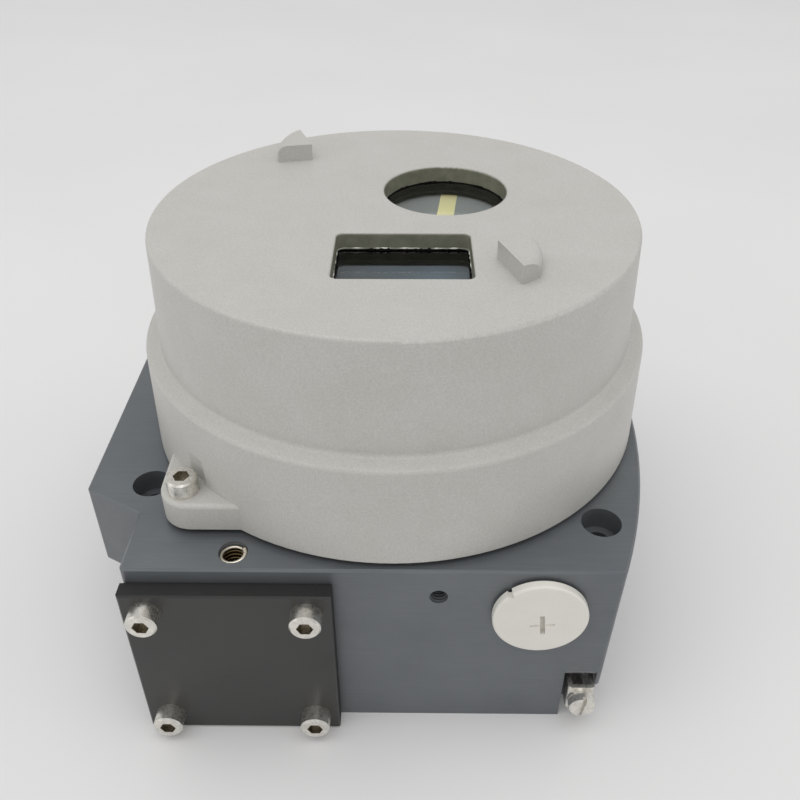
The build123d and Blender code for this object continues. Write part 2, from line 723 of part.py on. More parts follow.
def indicator_hub_screw():
    """Grub screw through the hub, up to the shaft."""
    z = DISC_TOP - DISC_T - HUB_H / 2
    screw = rod_x(M3_R - THREAD_GAP, 0, z, SHAFT_TOP_R, HUB_R - 0.4)
    return at_shaft(screw)


def thread_insert():
    """Wire thread insert in the flange, standing a little proud."""
    top = BASE_H + INSERT_PROUD
    edge = 0.35
    return ring([
        (INSERT_HOLE_R, BASE_H - INSERT_L), (INSERT_R, BASE_H - INSERT_L), (INSERT_R, top - edge),
        (INSERT_R - edge, top), (INSERT_HOLE_R + edge, top), (INSERT_HOLE_R, top - edge),
    ], INSERT_X, INSERT_Y)


def plate_screw_places():
    return [(x, z) for x in PLATE_SCREW_XS for z in PLATE_SCREW_ZS]


def blanking_plate():
    y1 = FRONT_Y - GASKET_T
    y0 = y1 - PLATE_T
    body = block(PLATE_X0, PLATE_X1, y0, y1, PLATE_Z0, PLATE_Z1)
    body = chamfer(body.faces().sort_by(Axis.Y)[0].edges(), PLATE_EDGE)
    for x, z in plate_screw_places():
        body -= rod_y(M5_CLEAR_R, x, z, y0 - 1, y1 + 1)
    return body


def plate_gasket():
    g = GASKET_INSET
    body = block(PLATE_X0 + g, PLATE_X1 - g, FRONT_Y - GASKET_T, FRONT_Y, PLATE_Z0 + g, PLATE_Z1 - g)
    for x, z in plate_screw_places():
        body -= rod_y(M5_CLEAR_R, x, z, FRONT_Y - GASKET_T - 1, FRONT_Y + 1)
    for x in plate_port_places():
        body -= rod_y(GALLERY_R + 1, x, PLATE_PORT_Z, FRONT_Y - GASKET_T - 1, FRONT_Y + 1)
    return body


def plate_screws():
    face = FRONT_Y - GASKET_T - PLATE_T
    screw = Rot(90, 0, 0) * m5_screw(PLATE_T + GASKET_T + M5_GRIP)
    return [Pos(x, face, z) * screw for x, z in plate_screw_places()]


def conduit_plug():
    """Blanking plug: thin round head, hollow shank, cross recess for a driver and a rim notch."""
    shank_r = CONDUIT_R - THREAD_GAP
    seat = PLUG_SEAL_T
    face = seat + PLUG_HEAD_T
    body = turned([
        (0, face), (PLUG_HEAD_R, face), (PLUG_HEAD_R, seat), (shank_r, seat), (shank_r, -PLUG_L),
        (shank_r - PLUG_WALL, -PLUG_L), (shank_r - PLUG_WALL, seat), (0, seat),
    ])
    rim = body.edges().filter_by(GeomType.CIRCLE).group_by(Axis.Z)[-1]
    body = fillet(rim, PLUG_EDGE_R)
    cross = Pos(0, 0, -PLUG_SLOT_DEPTH) * Box(PLUG_SLOT_W, PLUG_SLOT_L, PLUG_HEAD_T, align=UP)
    cross += Pos(0, 0, -PLUG_BAR_DEPTH) * Box(PLUG_BAR_L, PLUG_BAR_W, PLUG_HEAD_T, align=UP)
    body -= Pos(PLUG_CROSS_X, -PLUG_CROSS_DROP, face) * Rot(0, 0, PLUG_CROSS_LEAN) * cross
    nick_x, nick_y = polar(PLUG_HEAD_R - PLUG_NICK_IN, PLUG_NICK_ANGLE)
    body -= disc(PLUG_NICK_R, seat - 0.1, face + 1, nick_x, nick_y)
    return Pos(CONDUIT_X, FRONT_Y, CONDUIT_Z) * Rot(90, 0, 0) * body


def conduit_plug_seal():
    body = turned([
        (CONDUIT_R, 0), (PLUG_SEAL_R, 0), (PLUG_SEAL_R, PLUG_SEAL_T), (CONDUIT_R, PLUG_SEAL_T),
    ])
    return Pos(CONDUIT_X, FRONT_Y, CONDUIT_Z) * Rot(90, 0, 0) * body


def ground_clamp():
    """Bent saddle: a square front plate with two legs back to the notch."""
    back = GROUND_BACK_Y
    front = CLAMP_FRONT_Y
    x0 = GROUND_X - CLAMP_W / 2
    z0 = GROUND_Z - CLAMP_H / 2
    body = block(x0, x0 + CLAMP_W, front, back, z0, z0 + CLAMP_H)
    bends = body.edges().filter_by(Axis.Z).group_by(Axis.Y)[0]
    body = fillet(bends, CLAMP_T)
    body -= block(x0 + CLAMP_T, x0 + CLAMP_W - CLAMP_T, front + CLAMP_T, back + 1, -1, BASE_H)
    return body - rod_y(M4_CLEAR_R, GROUND_X, GROUND_Z, front - 1, front + CLAMP_T + 1)


def ground_washer():
    """Split spring washer under the screw's head."""
    front = CLAMP_FRONT_Y - GROUND_WASHER_T
    body = rod_y(GROUND_WASHER_R, GROUND_X, GROUND_Z, front, CLAMP_FRONT_Y)
    body -= rod_y(M4_CLEAR_R, GROUND_X, GROUND_Z, front - 1, CLAMP_FRONT_Y + 1)
    gap = Pos(GROUND_X + GROUND_WASHER_R, 0, 0) * Box(2 * GROUND_WASHER_R, 9 * GROUND_WASHER_R, 0.8)
    return body - Pos(0, front, GROUND_Z) * gap


def ground_screw():
    """Slotted cheese head screw."""
    shank_r = M4_TAP_R - THREAD_GAP
    length = GROUND_WASHER_T + CLAMP_PROUD + GROUND_NOTCH_DEPTH + GROUND_GRIP
    edge = 0.4
    body = turned([
        (0, -length), (shank_r, -length), (shank_r, 0), (GROUND_HEAD_R, 0),
        (GROUND_HEAD_R, GROUND_HEAD_H - edge), (GROUND_HEAD_R - edge, GROUND_HEAD_H),
        (0, GROUND_HEAD_H),
    ])
    slot = Box(GROUND_SLOT_W, 2 * GROUND_HEAD_R + 2, GROUND_SLOT_DEPTH, align=UP)
    body -= Pos(0, 0, GROUND_HEAD_H - GROUND_SLOT_DEPTH) * Rot(0, 0, GROUND_SLOT_LEAN) * slot
    return Pos(GROUND_X, CLAMP_FRONT_Y - GROUND_WASHER_T, GROUND_Z) * Rot(90, 0, 0) * body


def exhaust_vent():
    """Sintered exhaust vent with a hexagon, screwed into the back face."""
    shank = Cylinder(VENT_R - THREAD_GAP, VENT_L - 1, align=(Align.CENTER, Align.CENTER, Align.MAX))
    head = extrude(RegularPolygon(VENT_HEX / 2, 6, major_radius=False), VENT_HEAD_T)
    head &= Pos(0, 0, 0) * Cylinder(VENT_HEX / 2 + 0.6, VENT_HEAD_T, align=UP)
    body = head + shank
    body -= Pos(0, 0, VENT_HEAD_T - 1.2) * Cylinder(VENT_R - 2, 2, align=UP)
    return Pos(VENT_X, HALF_Y, PORT_Z) * Rot(-90, 0, 0) * body


def cover_profile():
    """The cover's section: skirt, sloping ledge, upper wall and roof, with the seal's groove."""
    foot = BASE_H + COVER_GAP
    groove_top = BASE_H + COVER_SEAL_H + SEAL_GAP
    points = [
        (BORE_R, foot), (GROOVE_R0, foot), (GROOVE_R0, groove_top), (GROOVE_R1, groove_top),
        (GROOVE_R1, foot), (SKIRT_R, foot), (SKIRT_TOP_R, SKIRT_Z), (WALL_FOOT_R, WALL_FOOT_Z),
        (TOP_R, TOP_Z), (0, TOP_Z), (0, ROOF_Z), (COVER_INNER_R, ROOF_Z), (COVER_INNER_R, STEP_Z),
        (BORE_R, STEP_Z - THREAD_LEAD_H),
    ]
    return make_face(Polyline(*[(r, 0, z) for r, z in points], close=True))


def near(edges, radius, z, gap=0.05):
    """The circular edges of a given radius and height about the cover's axis."""
    return [e for e in edges.filter_by(GeomType.CIRCLE)
            if abs(e.radius - radius) < gap and abs(e.arc_center.Z - z) < gap]


def lug():
    """One wrench lug: a straight inner side, slanted ends, and a bowed outer side rounded on top."""
    far = (LUG_END_SLANT, LUG_FAR_W)
    close = (LUG_L - LUG_END_SLANT, LUG_NEAR_W)
    bow = (LUG_L / 2, (LUG_FAR_W + LUG_NEAR_W) / 2 + LUG_BULGE)
    plan = make_face([
        Line((0, 0), (LUG_L, 0)), Line((LUG_L, 0), close), ThreePointArc(close, bow, far),
        Line(far, (0, 0)),
    ])
    body = extrude(plan, LUG_H + 1)
    outer = body.faces().sort_by(Axis.Z)[-1].edges().filter_by(GeomType.CIRCLE)
    body = fillet(outer, LUG_EDGE_R)
    return Rot(0, 0, LUG_ANGLE) * body


def lugs():
    """Both lugs, half a turn apart."""
    one = Pos(LUG_X, LUG_Y, TOP_Z - 1) * lug()
    other = Pos(0, 2 * LUG_PAIR_Y, 0) * Rot(0, 0, 180) * one
    return one + other


def ear():
    """The corner block on the skirt that carries the lock screw."""
    z0 = BASE_H + COVER_GAP
    z1 = BASE_H + EAR_H
    body = block(EAR_X, 0, EAR_Y, 0, z0, z1)
    corner = body.edges().filter_by(Axis.Z).group_by(Axis.X)[0].sort_by(Axis.Y)[0]
    body = fillet(corner, EAR_CORNER_R)
    rim = [e for e in body.faces().sort_by(Axis.Z)[-1].edges() if e.center().X < -1 and e.center().Y < -1]
    body = fillet([e for e in rim if e.center().Y < EAR_Y / 2 or e.center().X < EAR_X / 2], EAR_EDGE_R)
    return body - disc(GROOVE_R1 + 1, z0 - 1, z1 + 1)


def round_window(z0, z1, grow):
    return disc(ROUND_WINDOW_R + grow, z0, z1, SHAFT_X, SHAFT_Y)


def rect_window(z0, z1, grow):
    return round_block(RECT_X, RECT_Y, RECT_W + 2 * grow, RECT_L + 2 * grow, RECT_CORNER_R + grow, z0, z1)


def round_cover():
    """The cast cover: turned shell, pads for the glass, windows, lugs and ear."""
    body = revolve(cover_profile(), Axis.Z)
    body = fillet(near(body.edges(), TOP_R, TOP_Z), COVER_EDGE_R)
    body = fillet(near(body.edges(), SKIRT_TOP_R, SKIRT_Z), LEDGE_EDGE_R)
    body = fillet(near(body.edges(), WALL_FOOT_R, WALL_FOOT_Z), LEDGE_EDGE_R)
    grow = GLASS_SEAT + BOND_SIDE + PAD_RIM
    body += round_window(PAD_Z, ROOF_Z + 1, grow)
    body += rect_window(PAD_Z, ROOF_Z + 1, grow)
    for shape in (round_window, rect_window):
        body -= shape(PAD_Z - 1, TOP_Z + 1, 0)
        body -= shape(PAD_Z - 1, TOP_Z - LIP_T, GLASS_SEAT + BOND_SIDE)
    rims = body.faces().sort_by(Axis.Z)[-1].inner_wires()
    body = fillet([e for w in rims for e in w.edges()], WINDOW_EDGE_R)
    body += ear()
    relief_top = BASE_H + EAR_H + LOCK_RELIEF_RISE
    body -= disc(LOCK_RELIEF_R, BASE_H + EAR_H, relief_top, LOCK_X, LOCK_Y)
    body -= disc(M5_TAP_R + THREAD_GAP, BASE_H, BASE_H + EAR_H + 1, LOCK_X, LOCK_Y)
    return body + lugs()


def glass_levels():
    """Heights of the lip's underside, the glass's top and its bottom."""
    lip = TOP_Z - LIP_T
    return lip, lip - BOND_T, lip - BOND_T - GLASS_T


def glazing(shape):
    """The glass, the bond round and over its edge, and the retainer under it, for one window."""
    lip, top, bottom = glass_levels()
    seat = GLASS_SEAT
    glass = shape(bottom, top, seat)
    bond = shape(bottom, lip, seat + BOND_SIDE) - shape(bottom - 1, top, seat) - shape(top - 1, lip + 1, 0)
    retainer = shape(PAD_Z, bottom, seat + BOND_SIDE) - shape(PAD_Z - 1, bottom + 1, 0)
    return glass, bond, retainer


def cover_seal_ring():
    """Rubber seal in the skirt's groove, resting on the flange."""
    r0 = GROOVE_R0 + SEAL_GAP
    r1 = GROOVE_R1 - SEAL_GAP
    section = Pos((r0 + r1) / 2, 0, BASE_H + COVER_SEAL_H / 2) * Rot(90, 0, 0) * \
        RectangleRounded(r1 - r0, COVER_SEAL_H, SEAL_EDGE_R)
    return revolve(section, Axis.Z)


def cover_lock_screw():
    """Cap screw down through the ear, its tip just over the flange."""
    length = EAR_H - LOCK_TIP_GAP
    return Pos(LOCK_X, LOCK_Y, BASE_H + EAR_H) * m5_screw(length)


def valve_gasket():
    body = block(VALVE_X - VALVE_W / 2, VALVE_X + VALVE_W / 2, -VALVE_L / 2, VALVE_L / 2,
                 FLOOR_H, FLOOR_H + VALVE_GASKET_T)
    for x, y in valve_screw_places():
        body -= disc(M4_CLEAR_R, FLOOR_H - 1, FLOOR_H + 2, x, y)
    for step in (-1, 0, 1):
        body -= disc(GALLERY_R + 0.6, FLOOR_H - 1, FLOOR_H + 2, VALVE_X, step * VALVE_PORT_STEP)
    return body


def spool_valve_body():
    """Valve block: spool bore through it, three galleries from below, four screw holes."""
    z0 = VALVE_FLOOR
    body = block(VALVE_X - VALVE_W / 2, VALVE_X + VALVE_W / 2, -VALVE_L / 2, VALVE_L / 2, z0, z0 + VALVE_H)
    body -= rod_y(SPOOL_R, VALVE_X, z0 + SPOOL_Z, -VALVE_L / 2 - 1, VALVE_L / 2 + 1)
    for step in (-1, 0, 1):
        body -= disc(GALLERY_R, z0 - 1, z0 + SPOOL_Z, VALVE_X, step * VALVE_PORT_STEP)
    for x, y in valve_screw_places():
        body -= disc(M4_CLEAR_R, z0 - 1, z0 + VALVE_H + 1, x, y)
    return body - cap_screw_holes()


def cap_screw_holes():
    """Holes for both end caps' screws, through each cap and into the valve block."""
    z = VALVE_FLOOR + CAP_SCREW_Z
    cut = None
    for side in (-1, 1):
        y0 = side * (VALVE_L / 2 - M3_GRIP)
        y1 = side * (VALVE_END_Y + 1)
        for k in (-1, 1):
            hole = rod_y(M3_R, VALVE_X + k * CAP_SCREW_X, z, y0, y1)
            cut = hole if cut is None else cut + hole
    return cut


def valve_end_cap(side):
    """A plate that closes one end of the spool's bore."""
    z0 = VALVE_FLOOR
    y0 = side * VALVE_L / 2
    y1 = side * VALVE_END_Y
    body = block(VALVE_X - VALVE_W / 2, VALVE_X + VALVE_W / 2, min(y0, y1), max(y0, y1), z0, z0 + VALVE_H)
    outer = [e for e in body.edges().filter_by(Axis.Z) if abs(e.center().Y - y1) < 0.01]
    return fillet(outer, 2.0) - cap_screw_holes()


def spool():
    """Spool with equal lands and waists between them."""
    pitch = (SPOOL_L - SPOOL_LAND_L) / (SPOOL_LANDS - 1)
    z = VALVE_FLOOR + SPOOL_Z
    body = rod_y(SPOOL_R - SPOOL_WAIST, VALVE_X, z, -SPOOL_L / 2, SPOOL_L / 2)
    for k in range(SPOOL_LANDS):
        y0 = k * pitch - SPOOL_L / 2
        body += rod_y(SPOOL_R - FIT_GAP, VALVE_X, z, y0, y0 + SPOOL_LAND_L)
    return body


def valve_screws():
    length = VALVE_H + VALVE_GASKET_T + M4_GRIP
    screw = socket_screw(M4_HEAD_R, M4_HEAD_H, M4_HEX, M4_HEX_DEPTH, M4_TAP_R - THREAD_GAP, length)
    return [Pos(x, y, VALVE_TOP) * screw for x, y in valve_screw_places()]


def prestage_body():
    z0 = VALVE_TOP
    return round_block(VALVE_X, 0, PRESTAGE_W, PRESTAGE_L, 3, z0, z0 + PRESTAGE_H)


def prestage_coil():
    z0 = VALVE_TOP + PRESTAGE_H
    return disc(COIL_R, z0, z0 + COIL_H, VALVE_X, 0)


def sensor_post_places():
    dx = SENSOR_W / 2 - POST_INSET
    dy = SENSOR_L / 2 - POST_INSET
    return [(SHAFT_X + i * dx, SHAFT_Y + j * dy) for i in (-1, 1) for j in (-1, 1)]


def sensor_board():
    body = round_block(SHAFT_X, SHAFT_Y, SENSOR_W, SENSOR_L, 2, SENSOR_Z, SENSOR_Z + BOARD_T)
    for x, y in sensor_post_places():
        body -= disc(M3_R, SENSOR_Z - 1, SENSOR_Z + BOARD_T + 1, x, y)
    return body - disc(BOARD_HOLE_R, SENSOR_Z - 1, SENSOR_Z + BOARD_T + 1, SHAFT_X, SHAFT_Y)


def sensor_board_posts():
    return [post(POST_R, x, y, FLOOR_H, SENSOR_Z) for x, y in sensor_post_places()]


def sensor_board_screws():
    screw = pan_screw(BOARD_T + M3_GRIP - 1)
    return [Pos(x, y, SENSOR_Z + BOARD_T) * screw for x, y in sensor_post_places()]


def carrier_post_places():
    return [polar(CARRIER_POST_RADIUS, a) for a in CARRIER_POST_ANGLES]


def case_screw_places():
    return [polar(CASE_SCREW_RADIUS, a) for a in CASE_SCREW_ANGLES]


def post(r, x, y, z0, z1):
    """A round post with a screw hole in its top."""
    return disc(r, z0, z1, x, y) - disc(M3_R, z1 - M3_GRIP, z1 + 1, x, y)


def carrier_posts():
    return [post(CARRIER_POST_R, x, y, LEDGE_Z, CARRIER_Z) for x, y in carrier_post_places()]


def electronics_carrier():
    """Moulded tray that holds the boards, with bosses for the controller's screws."""
    top = CARRIER_TOP
    body = disc(LEDGE_R - CARRIER_GAP, CARRIER_Z, top)
    for x, y in case_screw_places():
        body += disc(CARRIER_BOSS_R, top, MAIN_BOARD_Z, x, y)
        body -= disc(M3_R, top, MAIN_BOARD_Z + 1, x, y)
    body -= disc(SHAFT_HOLE_R, CARRIER_Z - 1, top + 1, SHAFT_X, SHAFT_Y)
    for x, y in carrier_post_places():
        body -= disc(M3_R, CARRIER_Z - 1, top + 1, x, y)
    return body


def main_board():
    z1 = BOARD_TOP
    body = disc(MAIN_BOARD_R, MAIN_BOARD_Z, z1)
    body -= disc(SHAFT_HOLE_R, MAIN_BOARD_Z - 1, z1 + 1, SHAFT_X, SHAFT_Y)
    for x, y in case_screw_places():
        body -= disc(M3_R + 0.2, MAIN_BOARD_Z - 1, z1 + 1, x, y)
    return body


def tower(grow, z0, z1):
    margin = TOWER_MARGIN + grow
    return round_block(RECT_X, RECT_Y, RECT_W + 2 * margin, RECT_L + 2 * margin, 3 + grow, z0, z1)


def controller_cover():
    """Moulded cover of the electronics, with a tower for the display and holes for the keys."""
    foot = CARRIER_TOP
    rim = DISPLAY_TOP - TOWER_DROP
    body = disc(CASE_R, foot, CASE_TOP)
    body = fillet(body.faces().sort_by(Axis.Z)[-1].edges(), CASE_EDGE_R)
    body += tower(TOWER_WALL, CASE_TOP - 1, rim)
    body -= disc(CASE_R - CASE_WALL, foot - 1, CASE_UNDER)
    for x, y in carrier_post_places():
        body += disc(SCALLOP_R + CASE_WALL, foot, CASE_TOP, x, y) & disc(CASE_R, foot, CASE_TOP)
        body -= disc(SCALLOP_R, foot - 1, CASE_TOP + 1, x, y)
    body -= tower(0, CASE_UNDER - 1, rim + 1)
    body += display_ledge()
    body -= disc(SHAFT_HOLE_R, CASE_UNDER - 1, CASE_TOP + 1, SHAFT_X, SHAFT_Y)
    for x, y in button_places():
        body -= disc(BUTTON_R + BUTTON_GAP, CASE_UNDER - 1, CASE_TOP + 1, x, y)
    body -= terminal_window()
    for x, y in case_screw_places():
        body += disc(CARRIER_BOSS_R, BOARD_TOP, CASE_UNDER + 0.5, x, y)
        body -= disc(M3_R + 0.2, MAIN_BOARD_Z, CASE_TOP + 1, x, y)
    return body


def display_ledge():
    """Shelf inside the tower that the display rests on."""
    outer = tower(TOWER_WALL / 2, DISPLAY_Z - 1.5, DISPLAY_Z)
    return outer - tower(-2.5, DISPLAY_Z - 3, DISPLAY_Z + 1)


def display_module():
    return tower(-DISPLAY_EDGE, DISPLAY_Z, DISPLAY_TOP)


def terminal_window():
    w = TERMINAL_W / 2 + TERMINAL_GAP
    l = TERMINAL_L / 2 + TERMINAL_GAP
    return block(TERMINAL_X - w, TERMINAL_X + w, TERMINAL_Y - l, TERMINAL_Y + l, CASE_UNDER - 1, CASE_TOP + 1)


def terminal_block():
    """Terminal block with a screw well and a wire hole for each way."""
    z0 = BOARD_TOP
    z1 = z0 + TERMINAL_H
    body = block(TERMINAL_X - TERMINAL_W / 2, TERMINAL_X + TERMINAL_W / 2,
                 TERMINAL_Y - TERMINAL_L / 2, TERMINAL_Y + TERMINAL_L / 2, z0, z1)
    step = body.edges().filter_by(Axis.Y).group_by(Axis.Z)[-1].sort_by(Axis.X)[-1]
    body = chamfer(step, 2.5)
    for y in terminal_places():
        body -= disc(TERMINAL_SCREW_R + 0.1, z1 - TERMINAL_SCREW_H - 1.5, z1 + 1, TERMINAL_X - 1, y)
    return body


def terminal_places():
    pitch = TERMINAL_L / TERMINAL_WAYS
    return [TERMINAL_Y - TERMINAL_L / 2 + (k + 0.5) * pitch for k in range(TERMINAL_WAYS)]


def terminal_screws():
    z0 = BOARD_TOP + TERMINAL_H - TERMINAL_SCREW_H - 1.5
    z1 = z0 + TERMINAL_SCREW_H
    made = []
    for y in terminal_places():
        screw = disc(TERMINAL_SCREW_R, z0, z1, TERMINAL_X - 1, y)
        slot = block(TERMINAL_X - 4, TERMINAL_X + 2, y - 0.35, y + 0.35, z1 - 0.8, z1 + 1)
        made.append(screw - slot)
    return made


def button_places():
    return [(BUTTON_X, BUTTON_Y0 + k * BUTTON_STEP) for k in range(len(BUTTON_NAMES))]


def button(x, y):
    """A key cap: domed top, stem down to its switch, and a flange that keeps it in."""
    top = CASE_TOP + BUTTON_PROUD
    foot = BUTTON_FLANGE_Z
    flange_top = BUTTON_FLANGE_Z + BUTTON_FLANGE_H
    return ring([
        (0, BUTTON_Z), (BUTTON_R - 1, BUTTON_Z), (BUTTON_R - 1, foot), (BUTTON_FLANGE_R, foot),
        (BUTTON_FLANGE_R, flange_top), (BUTTON_R, flange_top), (BUTTON_R, top - 0.8),
        (BUTTON_R - 0.8, top), (0, top),
    ], x, y)


def key_switches():
    """One small switch on the main board under each key."""
    z0 = BOARD_TOP
    made = []
    for x, y in button_places():
        w = SWITCH_W / 2
        case = block(x - w, x + w, y - w, y + w, z0, z0 + SWITCH_H)
        made.append(case + disc(SWITCH_STEM_R, z0 + SWITCH_H - 0.5, z0 + SWITCH_H + SWITCH_STEM_H, x, y))
    return made


def pan_screw(shank_l):
    """A small pan head screw that stands on z = 0."""
    edge = 0.5
    body = turned([
        (0, -shank_l), (M3_R - THREAD_GAP, -shank_l), (M3_R - THREAD_GAP, 0), (M3_HEAD_R, 0),
        (M3_HEAD_R, M3_HEAD_H - edge), (M3_HEAD_R - edge, M3_HEAD_H), (0, M3_HEAD_H),
    ])
    for w, l in ((0.6, 3.2), (3.2, 0.6)):
        body -= Pos(0, 0, M3_HEAD_H - 0.9) * Box(w, l, 2, align=UP)
    return body


def controller_screws():
    length = CASE_TOP - MAIN_BOARD_Z + M3_GRIP
    return [Pos(x, y, CASE_TOP) * pan_screw(length) for x, y in case_screw_places()]


def carrier_screws():
    screw = pan_screw(CARRIER_T + M3_GRIP - 1)
    return [Pos(x, y, CARRIER_TOP) * screw for x, y in carrier_post_places()]


def cap_screws():
    """Two pan head screws on each end cap of the valve."""
    made = []
    for side in (-1, 1):
        face = side * VALVE_END_Y
        for k in (-1, 1):
            screw = Rot(90 * -side, 0, 0) * pan_screw(VALVE_CAP_T + M3_GRIP - 1)
            made.append(Pos(VALVE_X + k * CAP_SCREW_X, face, VALVE_FLOOR + CAP_SCREW_Z) * screw)
    return made


def write(name, made):
    """Shift a piece so that the shaft's axis is the origin, and save it under its name."""
    solids = []
    for item in made if isinstance(made, list) else [made]:
        solids += [s.moved(Location((-SHAFT_X, -SHAFT_Y, 0))) for s in item.solids()]
    shape = solids[0] if len(solids) == 1 else Compound(children=solids)
    shape.label = name
    export_step(shape, f"parts/{name}.step")


def main():
    os.makedirs("parts", exist_ok=True)
    write("base_housing", base_housing())
    write("shaft_bush_lower", shaft_bush_lower())
    write("shaft_bush_upper", shaft_bush_upper())
    write("shaft_seal", shaft_seal())
    write("thread_insert", thread_insert())
    write("blanking_plate", blanking_plate())
    write("plate_gasket", plate_gasket())
    write("plate_screws", plate_screws())
    write("conduit_plug", conduit_plug())
    write("conduit_plug_seal", conduit_plug_seal())
    write("ground_clamp", ground_clamp())
    write("ground_washer", ground_washer())
    write("ground_screw", ground_screw())
    write("exhaust_vent", exhaust_vent())
    write("valve_gasket", valve_gasket())
    write("spool_valve_body", spool_valve_body())
    write("valve_end_cap_front", valve_end_cap(-1))
    write("valve_end_cap_rear", valve_end_cap(1))
    write("end_cap_screws", cap_screws())
    write("valve_screws", valve_screws())
    write("spool", spool())
    write("prestage_body", prestage_body())
    write("prestage_coil", prestage_coil())
    write("sensor_board", sensor_board())
    write("sensor_board_posts", sensor_board_posts())
    write("sensor_board_screws", sensor_board_screws())
    write("carrier_posts", carrier_posts())
    write("electronics_carrier", electronics_carrier())
    write("carrier_screws", carrier_screws())
    write("main_board", main_board())
    write("terminal_block", terminal_block())
    write("terminal_screws", terminal_screws())
    write("key_switches", key_switches())
    write("controller_cover", controller_cover())
    write("controller_screws", controller_screws())
    write("display_module", display_module())
    for name, (x, y) in zip(BUTTON_NAMES, button_places()):
        write(f"button_{name}", button(x, y))
    write("feedback_shaft", feedback_shaft())
    write("shaft_clip", shaft_clip())
    write("shaft_magnet", shaft_magnet())
    write("indicator_disc", indicator_disc())
    write("indicator_mark", indicator_mark())
    write("indicator_hub_screw", indicator_hub_screw())
    write("cover_seal_ring", cover_seal_ring())
    write("round_cover", round_cover())
    for name, shape in (("indicator_glass", round_window), ("display_glass", rect_window)):
        glass, bond, retainer = glazing(shape)
        write(name, glass)
        write(f"{name}_bond", bond)
        write(f"{name}_ring", retainer)
    write("cover_lock_screw", cover_lock_screw())


main()
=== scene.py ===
import json
import math
import random

import bmesh
import bpy
from mathutils import Matrix, Vector

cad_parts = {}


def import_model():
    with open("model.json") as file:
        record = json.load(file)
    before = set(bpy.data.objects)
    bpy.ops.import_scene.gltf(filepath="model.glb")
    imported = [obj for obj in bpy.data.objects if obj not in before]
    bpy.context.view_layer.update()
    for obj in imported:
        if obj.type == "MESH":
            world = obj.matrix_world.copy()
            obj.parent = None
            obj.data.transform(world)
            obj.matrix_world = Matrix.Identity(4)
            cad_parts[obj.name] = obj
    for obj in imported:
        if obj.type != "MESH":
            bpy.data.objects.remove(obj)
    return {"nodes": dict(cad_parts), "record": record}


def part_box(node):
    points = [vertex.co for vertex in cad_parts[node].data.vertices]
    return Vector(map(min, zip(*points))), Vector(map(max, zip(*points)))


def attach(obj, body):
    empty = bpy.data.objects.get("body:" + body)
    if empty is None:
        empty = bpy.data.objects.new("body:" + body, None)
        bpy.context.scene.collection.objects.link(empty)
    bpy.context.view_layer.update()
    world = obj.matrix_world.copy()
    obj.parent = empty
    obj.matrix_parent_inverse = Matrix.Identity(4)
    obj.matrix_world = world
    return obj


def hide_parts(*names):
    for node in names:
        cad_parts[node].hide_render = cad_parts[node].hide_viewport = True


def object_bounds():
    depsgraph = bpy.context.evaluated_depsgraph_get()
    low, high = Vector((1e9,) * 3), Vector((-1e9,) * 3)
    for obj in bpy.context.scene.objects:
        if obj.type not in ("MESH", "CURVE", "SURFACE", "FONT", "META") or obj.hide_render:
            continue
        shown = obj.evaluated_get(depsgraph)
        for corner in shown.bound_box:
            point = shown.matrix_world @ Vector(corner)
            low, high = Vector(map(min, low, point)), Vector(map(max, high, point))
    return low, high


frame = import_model()
CAD_BOX = [list(corner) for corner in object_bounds()]
NODES = frame["nodes"]
MM = 0.001

# The cover's axis, from the feedback shaft's axis, and the level of the base's top face, in mm
COVER_X = -15.3
COVER_Y = -16.5
FLANGE_Z = 62.6

# The two windows: the round one is about the shaft, the other has a centre, a size and a corner.
# LIP_Z is the underside of the lip that each glass lies under.
WINDOW_R = 18.5
DISPLAY_X = -12.5
DISPLAY_Y = -43.9
DISPLAY_W = 36.6
DISPLAY_L = 26.1
DISPLAY_CORNER = 2.0
LIP_Z = 123.8

# From how far outside a window's wall the painted shade on the wall gives way to paint, and by
# where it has, in mm
MASK_START = 0.03
MASK_END = 0.25

# The heads of the M5 cap screws: their radius, and how wide and how deep the painted shade in a
# socket reaches
M5_HEAD_R = 4.25
SOCKET_R = 2.36
SOCKET_SINK = 0.12

# How far back from the plate's face its painted shade on the edges starts
PLATE_FACE_T = 0.45

# The insert's wire: its radius, that of its first coil, its pitch, the angle in degrees at which it
# starts and the points over which it thins; and the depths at which it is bright and at which its
# painted brown shade down the hole is darkest
WIRE_R = 0.5
FIRST_WIRE_R = 0.72
WIRE_PITCH = 1.35
WIRE_START = 35
WIRE_THINS_OVER = 44
BRIGHT_DEPTH = 0.9
DEEP_SHADE_DEPTH = 2.2

# The neck's thread: its ridge stays inside the cover's 0.3 mm running gap
NECK_R = 67.0
NECK_H = 25.0
NECK_PITCH = 2.0
NECK_RIDGE_R = 0.26
NECK_THREAD_TOP_GAP = 2.4
NECK_THREAD_FOOT = 2.0
NECK_STEPS = 160
NECK_RUN_OUT = 60

# The tapped holes whose threads can be seen into: ports on the left, one hole in the front
PORT_X = -75.3
PORT_Z = 14.2
PORT_YS = (-38.5, -16.5, 5.5)
PORT_R = 5.9
PORT_PITCH = 1.337
PORT_THREAD_L = 12.0
FRONT_HOLE = (-2.5, -94.0, 52.7)
FRONT_HOLE_R = 2.5
FRONT_HOLE_PITCH = 1.0
FRONT_HOLE_THREAD_L = 11.0
HOLE_THREAD_START = 0.6
HOLE_RIDGE_SHARE = 0.3
HOLE_RUN_OUT = 20

# Points in a turn of a thread or wire, the sides of the sections of ridge, wire and bead, and how
# thick a ridge's very end is, as a share of what it grows by from one point to the next
TURN_STEPS = 40
RIDGE_SIDES = 4
WIRE_SIDES = 10
BEAD_SIDES = 8
TIP = 0.3

